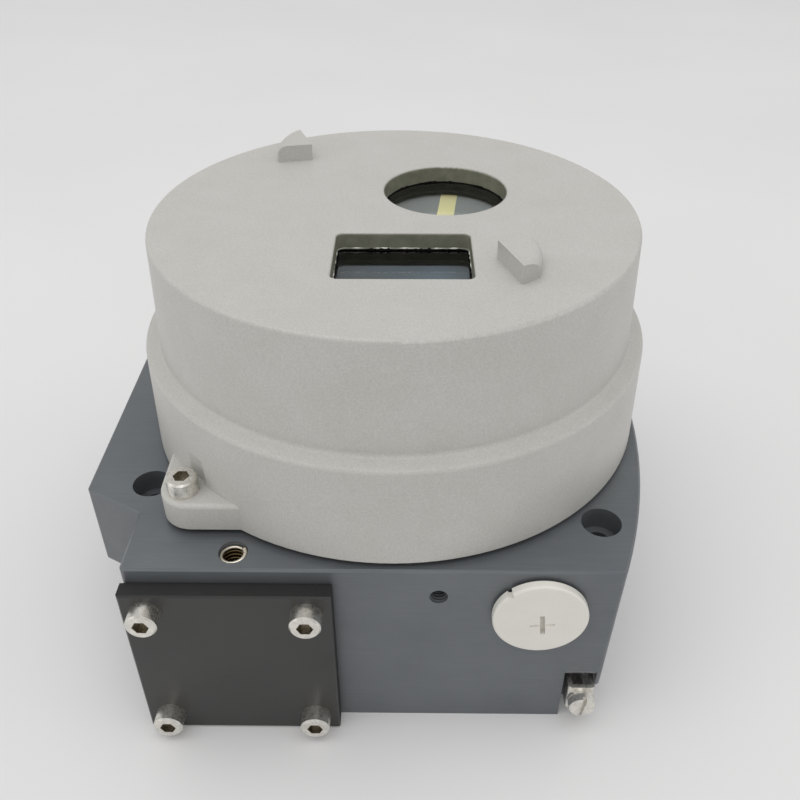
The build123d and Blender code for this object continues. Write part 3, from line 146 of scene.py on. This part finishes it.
# A bead's random ranges, as shares of its own thickness and of its lumps' width and height, and
# how many half-widths from its middle a lump ends
THIN_RANGE = (0.7, 1.3)
WIDE_RANGE = (0.4, 1.3)
TALL_RANGE = (0.25, 1.0)
LUMP_REACH = 3

# The display's sections, as pairs of inset from the module's sides and drop from its top
TRAY_SECTION = ((0, 0.4), (0.4, 0), (1.1, 0), (1.3, 0.2), (1.3, 0.9))
PANEL_SECTION = ((1.35, 0.9), (1.35, 0.45), (1.5, 0.3))
TRAY_CORNER = 1.5
TRAY_CORNER_STEP = 18
WINDOW_CORNER_STEP = 15

# The photograph's camera: place in mm, turn, tilt and roll in radians, and lens and sensor in mm
CAMERA_PLACE = (-10.686, -248.551, 231.382)
CAMERA_TURN = 0.0131
CAMERA_TILT = 0.6323
CAMERA_ROLL = -0.0029
CAMERA_LENS = 38.62
SENSOR_W = 36
CLIP_START = 0.01

# The room, in metres: a pale floor, an even pale light from all sides, and three soft lamps, each
# with its name, place, size and watts
FLOOR_SIZE = 12.0
FLOOR_RGB = (231, 230, 230)
ROOM_STRENGTH = 0.6
LAMP_TARGET = (0, 0, 0.06)
LAMPS = (
    ("overhead", (-0.2, -0.3, 2.2), (2.6, 2.4), 23),
    ("left", (-1.1, -0.5, 0.45), (0.8, 0.6), 0.8),
    ("right", (1.1, -0.1, 0.5), (0.8, 0.6), 0.8),
)

# Colours as they look on a screen, and how strong noise's finer layers are
STEEL_RGB = (232, 229, 222)
# The darker colour painted into the screws' sockets as painted shade
SOCKET_SHADE_RGB = (172, 165, 152)
INSERT_RGB = (236, 228, 212)
NOISE_ROUGH = 0.6


def linear(rgb):
    """A colour as it looks on a screen, 0 to 255, as the linear values that a shader takes."""
    out = []
    for value in rgb:
        c = value / 255
        out.append(c / 12.92 if c <= 0.04045 else ((c + 0.055) / 1.055) ** 2.4)
    return (*out, 1.0)


class Shader:
    """A node material built line by line around one Principled shader."""

    def __init__(self, name, rgb, rough=0.5, metal=0.0, **sockets):
        self.material = bpy.data.materials.new(name)
        self.material.use_nodes = True
        self.tree = self.material.node_tree
        self.bsdf = self.tree.nodes["Principled BSDF"]
        self.output = self.tree.nodes["Material Output"]
        self.set("Base Color", linear(rgb))
        self.set("Roughness", rough)
        self.set("Metallic", metal)
        for key, value in sockets.items():
            self.set(key.replace("_", " "), value)
        self.place = self.node("ShaderNodeTexCoord").outputs["Object"]

    def node(self, kind, **values):
        made = self.tree.nodes.new(kind)
        for key, value in values.items():
            setattr(made, key, value)
        return made

    def link(self, out, into):
        self.tree.links.new(out, into)

    def set(self, socket, value):
        self.bsdf.inputs[socket].default_value = value

    def axes(self):
        """The place's three coordinates, in metres."""
        made = self.node("ShaderNodeSeparateXYZ")
        self.link(self.place, made.inputs[0])
        return made.outputs

    def noise(self, size_mm, detail, stretch=(1, 1, 1)):
        """Noise whose features are about size_mm across."""
        mapping = self.node("ShaderNodeMapping")
        mapping.inputs["Scale"].default_value = [s / (size_mm * MM) for s in stretch]
        self.link(self.place, mapping.inputs["Vector"])
        made = self.node("ShaderNodeTexNoise")
        made.inputs["Scale"].default_value = 1.0
        made.inputs["Detail"].default_value = detail
        made.inputs["Roughness"].default_value = NOISE_ROUGH
        self.link(mapping.outputs["Vector"], made.inputs["Vector"])
        return made.outputs["Fac"]

    def ramp(self, fac, low, high, start=0.3, end=0.7):
        """fac from start to end turned into a colour from low to high."""
        made = self.node("ShaderNodeValToRGB")
        made.color_ramp.elements[0].position = start
        made.color_ramp.elements[1].position = end
        made.color_ramp.elements[0].color = low
        made.color_ramp.elements[1].color = high
        self.link(fac, made.inputs["Fac"])
        return made.outputs["Color"]

    def grey_ramp(self, fac, low, high, start=0.3, end=0.7):
        return self.ramp(fac, (low, low, low, 1), (high, high, high, 1), start, end)

    def range(self, value, start, end, low, high):
        """value from start to end turned into a number from low to high."""
        made = self.node("ShaderNodeMapRange")
        made.inputs["From Min"].default_value = start
        made.inputs["From Max"].default_value = end
        made.inputs["To Min"].default_value = low
        made.inputs["To Max"].default_value = high
        self.link(value, made.inputs["Value"])
        return made.outputs["Result"]

    def fill(self, socket, value):
        """value, a number, a colour or another node's output, given to a node's input."""
        if isinstance(value, bpy.types.NodeSocket):
            self.link(value, socket)
        else:
            socket.default_value = value

    def blend(self, a, b, how, fac):
        """Two colours mixed."""
        made = self.node("ShaderNodeMix", data_type="RGBA", blend_type=how)
        for value, name in ((fac, "Factor"), (a, "A"), (b, "B")):
            self.fill([s for s in made.inputs if s.name == name and s.enabled][0], value)
        return [s for s in made.outputs if s.enabled][0]

    def math(self, how, a, b=0.0):
        made = self.node("ShaderNodeMath", operation=how)
        self.fill(made.inputs[0], a)
        self.fill(made.inputs[1], b)
        return made.outputs[0]

    def distance(self, a, b):
        """The length of a diagonal from its two sides."""
        squares = [self.math("MULTIPLY", side, side) for side in (a, b)]
        return self.math("SQRT", self.math("ADD", *squares))

    def within_windows(self):
        """1 inside the cover's two windows and on their walls, where the cover's paint takes
        painted shade, 0 on the faces outside them.
        """
        x, y = self.axes()[:2]
        round_out = self.math("SUBTRACT", self.distance(x, y), WINDOW_R * MM)
        past = []
        for along, middle, half in ((x, DISPLAY_X, DISPLAY_W / 2), (y, DISPLAY_Y, DISPLAY_L / 2)):
            off = self.math("ABSOLUTE", self.math("SUBTRACT", along, middle * MM))
            off = self.math("SUBTRACT", off, (half - DISPLAY_CORNER) * MM)
            past.append(self.math("MAXIMUM", off))
        rect_out = self.math("SUBTRACT", self.distance(*past), DISPLAY_CORNER * MM)
        out = self.math("MINIMUM", round_out, rect_out)
        return self.range(out, MASK_START * MM, MASK_END * MM, 1.0, 0.0)

    def colour(self, socket):
        self.link(socket, self.bsdf.inputs["Base Color"])

    def roughness(self, socket):
        self.link(socket, self.bsdf.inputs["Roughness"])

    def bump(self, fac, height_mm, strength, after=None):
        """Relief of that height from fac. Returns the node so that another can follow it."""
        made = self.node("ShaderNodeBump")
        made.inputs["Strength"].default_value = strength
        made.inputs["Distance"].default_value = height_mm * MM
        self.link(fac, made.inputs["Height"])
        if after is not None:
            self.link(after.outputs["Normal"], made.inputs["Normal"])
        self.link(made.outputs["Normal"], self.bsdf.inputs["Normal"])
        return made


def cover_paint():
    """Fine textured powder coat: pale speckle, slight mottling, and a grain in relief."""
    s = Shader("cover_paint", (196, 194, 188), 0.45, Specular_IOR_Level=0.5)
    mottle = s.ramp(s.noise(16, 4), linear((190, 189, 183)), linear((196, 194, 189)))
    speckle = s.grey_ramp(s.noise(0.5, 2), 0.90, 1.07, 0.30, 0.72)
    paint = s.blend(mottle, speckle, "MULTIPLY", 1.0)
    # Painted shade: the windows' walls are painted darker and olive, for the shade inside the
    # windows
    window_wall_shade = s.ramp(s.noise(3, 4), linear((118, 119, 103)), linear((138, 138, 122)))
    s.colour(s.blend(paint, window_wall_shade, "MIX", s.within_windows()))
    s.roughness(s.grey_ramp(s.noise(0.6, 2), 0.38, 0.50))
    first = s.bump(s.noise(1.6, 3), 0.03, 0.4)
    s.bump(s.noise(0.5, 2), 0.02, 0.5, first)
    return s.material


def base_metal():
    """Slate anodised aluminium: satin, with faint clouding and fine tool marks."""
    s = Shader("base_metal", (108, 112, 116), 0.34, 0.35, Specular_IOR_Level=0.5)
    cloud = s.ramp(s.noise(30, 4), linear((104, 108, 112)), linear((113, 117, 120)))
    marks = s.grey_ramp(s.noise(0.5, 3, stretch=(0.03, 1, 1)), 0.94, 1.05)
    s.colour(s.blend(cloud, marks, "MULTIPLY", 1.0))
    s.roughness(s.grey_ramp(s.noise(6, 4), 0.32, 0.44))
    s.bump(s.noise(0.35, 2), 0.01, 0.35)
    return s.material


def plate_metal(node):
    """Near-black anodised plate: satin on its front; its edges duller and painted black as painted
    shade.
    """
    s = Shader(node + "_metal", (30, 30, 29), 0.2, 0.0, Specular_IOR_Level=0.7)
    front = s.ramp(s.noise(18, 5), linear((26, 26, 25)), linear((34, 34, 32)))
    # Painted shade: every face behind the front is painted near black
    edge = s.math("GREATER_THAN", s.axes()[1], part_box(node)[0].y + PLATE_FACE_T * MM)
    s.colour(s.blend(front, linear((9, 9, 9)), "MIX", edge))
    satin = s.grey_ramp(s.noise(12, 5), 0.30, 0.40)
    s.roughness(s.math("ADD", satin, s.math("MULTIPLY", edge, 0.4)))
    s.bump(s.noise(0.4, 2), 0.003, 0.2)
    return s.material


def stainless(name="stainless", rgb=STEEL_RGB, rough=0.3):
    """Turned steel: slightly clouded, with a fine grain."""
    s = Shader(name, rgb, rough, 1.0)
    tone = s.grey_ramp(s.noise(1.5, 3), 0.82, 1.08)
    s.colour(s.blend(linear(rgb), tone, "MULTIPLY", 1.0))
    s.roughness(s.grey_ramp(s.noise(0.8, 3), rough - 0.06, rough + 0.12))
    s.bump(s.noise(0.25, 2), 0.006, 0.3)
    return s.material


def socket_steel(node, axis, head_r):
    """The steel of cap screws, their sockets painted darker as painted shade in the recess. The
    heads stand along the axis of that number and are the outermost things of the node across it."""
    s = Shader(node + "_steel", STEEL_RGB, 0.3, 1.0)
    low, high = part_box(node)
    place = s.axes()
    sides = []
    for i in (k for k in range(3) if k != axis):
        off = s.math("ABSOLUTE", s.math("SUBTRACT", place[i], (low[i] + high[i]) / 2))
        apart = (high[i] - low[i]) / 2 - head_r * MM
        sides.append(s.math("SUBTRACT", off, max(apart, 0.0)))
    near_axis = s.math("LESS_THAN", s.distance(*sides), SOCKET_R * MM)
    if axis == 1:
        sunk = s.math("GREATER_THAN", place[1], low[1] + SOCKET_SINK * MM)
    else:
        sunk = s.math("LESS_THAN", place[2], high[2] - SOCKET_SINK * MM)
    # Painted shade: the socket's recess is painted darker than the steel
    socket_shade = s.math("MULTIPLY", near_axis, sunk)
    tone = s.grey_ramp(s.noise(1.5, 3), 0.84, 1.06)
    bright = s.blend(linear(STEEL_RGB), tone, "MULTIPLY", 1.0)
    s.colour(s.blend(bright, linear(SOCKET_SHADE_RGB), "MIX", socket_shade))
    s.roughness(s.grey_ramp(s.noise(0.8, 3), 0.22, 0.40))
    s.bump(s.noise(0.25, 2), 0.006, 0.3)
    return s.material


def insert_steel():
    """Bright wire at the flange, painted darker and browner further down the hole as painted shade.
    """
    s = Shader("insert_steel", INSERT_RGB, 0.3, 1.0)
    z = s.axes()[2]
    # Painted shade: the wire is painted darker and browner the deeper it lies in the hole
    bright = s.range(z, (FLANGE_Z - DEEP_SHADE_DEPTH) * MM, (FLANGE_Z - BRIGHT_DEPTH) * MM, 0.0, 1.0)
    s.colour(s.ramp(bright, linear((104, 88, 62)), linear(INSERT_RGB), 0, 1))
    s.roughness(s.grey_ramp(s.noise(0.8, 3), 0.24, 0.42))
    return s.material


def display_panel_glass():
    """The switched-off panel: glossy grey-blue, with a painted reflection that makes it a little
    lighter across its middle.
    """
    s = Shader("display_panel", (96, 108, 122), 0.12, 0.0)
    # Painted reflection: the large lighter patch stands in for the room seen in the glossy panel
    s.colour(s.ramp(s.noise(30, 1), linear((88, 94, 102)), linear((108, 126, 142)), 0.35, 0.6))
    return s.material


def plain(name, rgb, rough, metal=0.0, grain=0.6, relief=0.01, spread=0.08, **sockets):
    """A finish with a fine grain, whose colour varies over 8 grains and its gloss over 3."""
    s = Shader(name, rgb, rough, metal, **sockets)
    tone = s.grey_ramp(s.noise(grain * 8, 4), 1 - spread, 1 + spread)
    s.colour(s.blend(linear(rgb), tone, "MULTIPLY", 1.0))
    s.roughness(s.grey_ramp(s.noise(grain * 3, 3), rough - 0.05, rough + 0.07))
    s.bump(s.noise(grain, 3), relief, 0.5)
    return s.material


def glass():
    """Clear glass that lets lamp light through, with a black band baked on its rim, under the
    cover's lip."""
    s = Shader("glass", (245, 250, 248), 0.0, 0.0, IOR=1.5, Transmission_Weight=1.0)
    clear = s.node("ShaderNodeBsdfTransparent")
    clear.inputs["Color"].default_value = (0.85, 0.88, 0.87, 1)
    band = s.node("ShaderNodeBsdfDiffuse")
    band.inputs["Color"].default_value = linear((9, 10, 12))
    shadow_ray = s.node("ShaderNodeLightPath").outputs["Is Shadow Ray"]
    pane = s.node("ShaderNodeMixShader")
    rim = s.node("ShaderNodeMixShader")
    for mix, fac, first, second in (
        (pane, shadow_ray, s.bsdf.outputs["BSDF"], clear.outputs["BSDF"]),
        (rim, s.within_windows(), band.outputs["BSDF"], pane.outputs["Shader"]),
    ):
        s.link(fac, mix.inputs["Fac"])
        s.link(first, mix.inputs[1])
        s.link(second, mix.inputs[2])
    s.link(rim.outputs["Shader"], s.output.inputs["Surface"])
    return s.material


def dress(node, material):
    """The CAD node keeps its shape and takes this material."""
    mesh = NODES[node].data
    if not mesh.materials:
        mesh.materials.append(material)
    for i in range(len(mesh.materials)):
        mesh.materials[i] = material


def skin(name, rows, material, body, closed=False):
    """A smooth piece stretched over rings of points in mm. closed joins the last ring to the
    first; otherwise both ends are capped."""
    bm = bmesh.new()
    made = [[bm.verts.new(Vector(p) * MM) for p in row] for row in rows]
    count = len(rows[0])
    for i in range(len(made) if closed else len(made) - 1):
        a, b = made[i], made[(i + 1) % len(made)]
        for k in range(count):
            n = (k + 1) % count
            bm.faces.new((a[k], a[n], b[n], b[k]))
    if not closed:
        bm.faces.new(list(reversed(made[0])))
        bm.faces.new(made[-1])
    bmesh.ops.recalc_face_normals(bm, faces=bm.faces)
    mesh = bpy.data.meshes.new(name)
    bm.to_mesh(mesh)
    bm.free()
    for face in mesh.polygons:
        face.use_smooth = True
    mesh.materials.append(material)
    obj = bpy.data.objects.new(name, mesh)
    bpy.context.scene.collection.objects.link(obj)
    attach(obj, body)
    return obj


def tube_rows(path, radii, sides, closed=False):
    """Rings of points about a path that winds round an upright axis."""
    path = [Vector(p) for p in path]
    rows = []
    last = len(path) - 1
    for i, p in enumerate(path):
        if closed:
            along = path[(i + 1) % len(path)] - path[i - 1]
        else:
            along = path[min(i + 1, last)] - path[max(i - 1, 0)]
        along.normalize()
        out = along.cross(Vector((0, 0, 1))).normalized()
        rise = out.cross(along)
        row = []
        for k in range(sides):
            a = 2 * math.pi * k / sides
            row.append(p + radii[i] * (math.cos(a) * out + math.sin(a) * rise))
        rows.append(row)
    return rows


def helix(x, y, radius, top, bottom, pitch, start=0, steps=TURN_STEPS):
    """Points down a right-handed thread about an upright axis, in mm."""
    count = int((top - bottom) / pitch * steps)
    points = []
    for i in range(count + 1):
        a = math.radians(start) - 2 * math.pi * i / steps
        z = top - pitch * i / steps
        points.append((x + radius * math.cos(a), y + radius * math.sin(a), z))
    return points


def tapered(count, radius, run):
    """Radii along a thread that runs out to nothing over its first and last points."""
    return [radius * min(1.0, (i + TIP) / run, (count - 1 - i + TIP) / run) for i in range(count)]


def thread_insert(steel):
    """The insert is a wound wire: its cut end stands at the back right of the flange's hole. The
    wire winds inside the hole's wall, so its path is nearer the axis where it is thicker."""
    low, high = (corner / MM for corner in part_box("thread_insert"))
    x, y = (low.x + high.x) / 2, (low.y + high.y) / 2
    outer = (high.x - low.x) / 2
    path = helix(x, y, 1.0, high.z - FIRST_WIRE_R, low.z + WIRE_R, WIRE_PITCH, WIRE_START)
    radii = [WIRE_R + (FIRST_WIRE_R - WIRE_R) * max(0.0, 1 - i / WIRE_THINS_OVER)
             for i in range(len(path))]
    path = [(x + (px - x) * (outer - r), y + (py - y) * (outer - r), z)
            for (px, py, z), r in zip(path, radii)]
    rows = tube_rows(path, radii, WIRE_SIDES)
    coil = skin("thread_insert_coil", rows, steel, "base")
    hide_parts("thread_insert")


def neck_thread(metal):
    """The low ridge that winds down the neck."""
    top = FLANGE_Z + NECK_H - NECK_THREAD_TOP_GAP
    path = helix(COVER_X, COVER_Y, NECK_R, top, FLANGE_Z + NECK_THREAD_FOOT, NECK_PITCH,
                 steps=NECK_STEPS)
    rows = tube_rows(path, tapered(len(path), NECK_RIDGE_R, NECK_RUN_OUT), RIDGE_SIDES)
    skin("neck_thread", rows, metal, "base")


def hole_thread(name, place, along, radius, pitch, length, metal):
    """Thread ridges in a tapped hole. place is the hole's mouth, along is the way in."""
    path = helix(0, 0, radius, -HOLE_THREAD_START, -length, pitch)
    rows = tube_rows(path, tapered(len(path), HOLE_RIDGE_SHARE * pitch, HOLE_RUN_OUT), RIDGE_SIDES)
    turn = Vector((0, 0, -1)).rotation_difference(Vector(along))
    rows = [[Vector(place) + turn @ p for p in row] for row in rows]
    skin(name, rows, metal, "base")


def threads(metal):
    neck_thread(metal)
    for name, y in zip(("output_port_front", "supply_port", "output_port_rear"), PORT_YS):
        hole_thread(name + "_thread", (PORT_X, y, PORT_Z), (1, 0, 0), PORT_R, PORT_PITCH,
                    PORT_THREAD_L, metal)
    hole_thread("front_hole_thread", FRONT_HOLE, (0, 1, 0), FRONT_HOLE_R, FRONT_HOLE_PITCH,
                FRONT_HOLE_THREAD_L, metal)


def round_outline(inset, step):
    """Points about step mm apart round the round window, that far inside its wall."""
    r = WINDOW_R - inset
    count = int(2 * math.pi * r / step)
    return [(r * math.cos(2 * math.pi * i / count), r * math.sin(2 * math.pi * i / count))
            for i in range(count)]


def rect_outline(inset, step):
    """Points about step mm apart round the display window, that far inside its wall."""
    w, l, c = DISPLAY_W / 2 - inset, DISPLAY_L / 2 - inset, DISPLAY_CORNER - inset
    points = []
    corners = ((w - c, l - c, 0), (c - w, l - c, 90), (c - w, c - l, 180), (w - c, c - l, 270))
    for i, (x, y, a0) in enumerate(corners):
        arc = [(x + c * math.cos(math.radians(a0 + t)), y + c * math.sin(math.radians(a0 + t)))
               for t in range(0, 91, WINDOW_CORNER_STEP)]
        points += arc
        nx, ny, na = corners[(i + 1) % 4]
        end = (nx + c * math.cos(math.radians(na)), ny + c * math.sin(math.radians(na)))
        gap = math.dist(arc[-1], end)
        count = int(gap / step)
        points += [(arc[-1][0] + (end[0] - arc[-1][0]) * k / count,
                    arc[-1][1] + (end[1] - arc[-1][1]) * k / count) for k in range(1, count)]
    return [(DISPLAY_X + px, DISPLAY_Y + py) for px, py in points]


def bead(name, material, outline, z, thin, lumps, tall, wide, seed):
    """A closed bead along an outline: thin, with rounded lumps up to so tall and about so wide."""
    rng = random.Random(seed)
    count = len(outline)
    step = math.dist(outline[0], outline[1])
    radii = [thin * rng.uniform(*THIN_RANGE) for _ in outline]
    for _ in range(lumps):
        middle = rng.uniform(0, count)
        spread = wide * rng.uniform(*WIDE_RANGE) / step
        height = tall * rng.uniform(*TALL_RANGE)
        for i in range(count):
            off = abs(i - middle)
            off = min(off, count - off) / spread
            if off < LUMP_REACH:
                radii[i] = max(radii[i], thin + height * math.exp(-off * off))
    path = [(px, py, z) for px, py in outline]
    rows = tube_rows(path, radii, BEAD_SIDES, closed=True)
    skin(name, rows, material, "cover", closed=True)


def window_beads(black, paint):
    """Sealant squeezed out where each glass meets its lip, and a rough lumpy edge along one lip,
    painted lighter than the cover as a painted highlight.
    """
    bead("indicator_window_bead", black, round_outline(inset=0.05, step=0.45),
         z=LIP_Z - 0.05, thin=0.12, lumps=40, tall=0.34, wide=0.55, seed=5)
    bead("display_window_bead", black, rect_outline(inset=0.05, step=0.4),
         z=LIP_Z, thin=0.14, lumps=90, tall=0.6, wide=0.6, seed=11)
    # Painted highlight: this rough edge is painted lighter than the cover's own paint
    bead("display_lip_edge", paint, rect_outline(inset=-0.02, step=0.4),
         z=LIP_Z + 0.45, thin=0.03, lumps=40, tall=0.24, wide=1.6, seed=23)


def rect_ring(low, high, inset, z):
    """A rounded rectangle of points, inset from a box's sides, at height z."""
    points = []
    corners = ((high.x, high.y), (low.x, high.y), (low.x, low.y), (high.x, low.y))
    for i, (x, y) in enumerate(corners):
        sx, sy = (1 if x == high.x else -1), (1 if y == high.y else -1)
        for t in range(0, 91, TRAY_CORNER_STEP):
            a = math.radians(90 * i + t)
            points.append((x - sx * (inset + TRAY_CORNER) + TRAY_CORNER * math.cos(a),
                           y - sy * (inset + TRAY_CORNER) + TRAY_CORNER * math.sin(a), z))
    return points


def display(plastic):
    """The display: a moulded tray whose rim stands round a recessed glass panel."""
    low, high = (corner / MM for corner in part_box("display_module"))
    foot = [rect_ring(low, high, 0, low.z)]
    tray_rows, panel_rows = ([rect_ring(low, high, inset, high.z - drop) for inset, drop in section]
                             for section in (TRAY_SECTION, PANEL_SECTION))
    tray = skin("display_tray", foot + tray_rows, plastic, "base")
    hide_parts("display_module")
    skin("display_panel", panel_rows, display_panel_glass(), "base")


def finishes():
    """Every material, put on the CAD nodes and on the pieces that are made here."""
    shared = {
        "stainless": stainless(),
        "spring_steel": stainless("spring_steel", (120, 116, 110), 0.36),
        "black_rubber": plain("black_rubber", (26, 26, 26), 0.6, grain=0.5),
        "black_bond": plain("black_bond", (14, 14, 15), 0.8, grain=0.5, Specular_IOR_Level=0.2),
        "board": plain("board", (20, 74, 46), 0.35, grain=1.0),
        "case_plastic": plain("case_plastic", (40, 41, 43), 0.55, grain=0.5),
        "key_plastic": plain("key_plastic", (60, 62, 64), 0.4, grain=0.5),
        "bronze": plain("bronze", (160, 118, 72), 0.35, 1.0),
    }
    own = {
        "round_cover": cover_paint(),
        "base_housing": base_metal(),
        "blanking_plate": plate_metal("blanking_plate"),
        "valve_end_cap_front": plate_metal("valve_end_cap_front"),
        "valve_end_cap_rear": plate_metal("valve_end_cap_rear"),
        "spool_valve_body": base_metal(),
        "conduit_plug": plain("plug_plastic", (230, 227, 219), 0.42, grain=0.8, spread=0.02),
        "exhaust_vent": plain("sintered_bronze", (130, 96, 58), 0.6, 0.8, grain=0.5, relief=0.08),
        "prestage_coil": plain("coil", (96, 50, 26), 0.35, grain=0.5),
        "terminal_block": plain("terminal_plastic", (48, 104, 62), 0.45, grain=0.7),
        "shaft_magnet": plain("magnet", (62, 62, 64), 0.45, 0.6),
        "indicator_disc": plain("disc_plastic", (128, 130, 130), 0.5, grain=0.8, spread=0.04),
        "indicator_mark": plain("mark_plastic", (252, 236, 168), 0.5, grain=0.8, spread=0.03),
        "ground_washer": shared["stainless"],
        "plate_screws": socket_steel("plate_screws", 1, M5_HEAD_R),
        "cover_lock_screw": socket_steel("cover_lock_screw", 2, M5_HEAD_R),
        "indicator_glass_ring": shared["black_bond"],
        "display_glass_ring": shared["black_bond"],
        "indicator_glass": glass(),
        "display_glass": glass(),
    }
    thread_insert(insert_steel())
    threads(own["base_housing"])
    # The lip's rough edge takes a paint lighter than the cover's, as a painted highlight
    window_beads(shared["black_bond"], plain("lip_edge_highlight", (240, 240, 228), 0.5, grain=0.5))
    display(shared["case_plastic"])
    slots = {part["node"]: part["material_slot"] for part in frame["record"]["subparts"]}
    for node in NODES:
        if node not in ("thread_insert", "display_module"):
            dress(node, own.get(node) or shared[slots[node]])


def camera():
    back = Vector((
        math.sin(CAMERA_TURN) * math.cos(CAMERA_TILT),
        -math.cos(CAMERA_TURN) * math.cos(CAMERA_TILT),
        math.sin(CAMERA_TILT),
    ))
    right = (-back).cross(Vector((0, 0, 1))).normalized()
    up = right.cross(-back)
    c, s = math.cos(CAMERA_ROLL), math.sin(CAMERA_ROLL)
    right, up = c * right + s * up, c * up - s * right
    data = bpy.data.cameras.new("camera")
    data.lens = CAMERA_LENS
    data.sensor_width = SENSOR_W
    data.clip_start = CLIP_START
    obj = bpy.data.objects.new("camera", data)
    bpy.context.scene.collection.objects.link(obj)
    turn = Matrix((right, up, back)).transposed().to_4x4()
    obj.matrix_world = Matrix.Translation(Vector(CAMERA_PLACE) * MM) @ turn
    bpy.context.scene.camera = obj


def floor():
    mesh = bpy.data.meshes.new("floor")
    h = FLOOR_SIZE / 2
    z = CAD_BOX[0][2]
    mesh.from_pydata([(-h, -h, z), (h, -h, z), (h, h, z), (-h, h, z)], [], [(0, 1, 2, 3)])
    obj = bpy.data.objects.new("floor", mesh)
    bpy.context.scene.collection.objects.link(obj)
    s = Shader("floor", FLOOR_RGB, 0.7)
    s.colour(s.ramp(s.noise(260, 2), linear((229, 228, 228)), linear((233, 232, 232))))
    mesh.materials.append(s.material)


def lamp(name, place, size, watts):
    """A soft rectangle of light that faces the part."""
    data = bpy.data.lights.new(name, "AREA")
    data.shape = "RECTANGLE"
    data.size, data.size_y = size
    data.energy = watts
    obj = bpy.data.objects.new(name, data)
    bpy.context.scene.collection.objects.link(obj)
    obj.location = place
    way = Vector(LAMP_TARGET) - Vector(place)
    obj.rotation_euler = way.to_track_quat("-Z", "Y").to_euler()


def world():
    """A pale room: even from all sides, and seen as plain pale grey behind the floor."""
    made = bpy.data.worlds.new("room")
    bpy.context.scene.world = made
    made.use_nodes = True
    tree = made.node_tree
    tree.nodes["Background"].inputs["Color"].default_value = (1, 1, 1, 1)
    tree.nodes["Background"].inputs["Strength"].default_value = ROOM_STRENGTH


def main():
    bpy.context.scene.view_settings.view_transform = "Standard"
    camera()
    finishes()
    floor()
    world()
    for row in LAMPS:
        lamp(*row)


main()
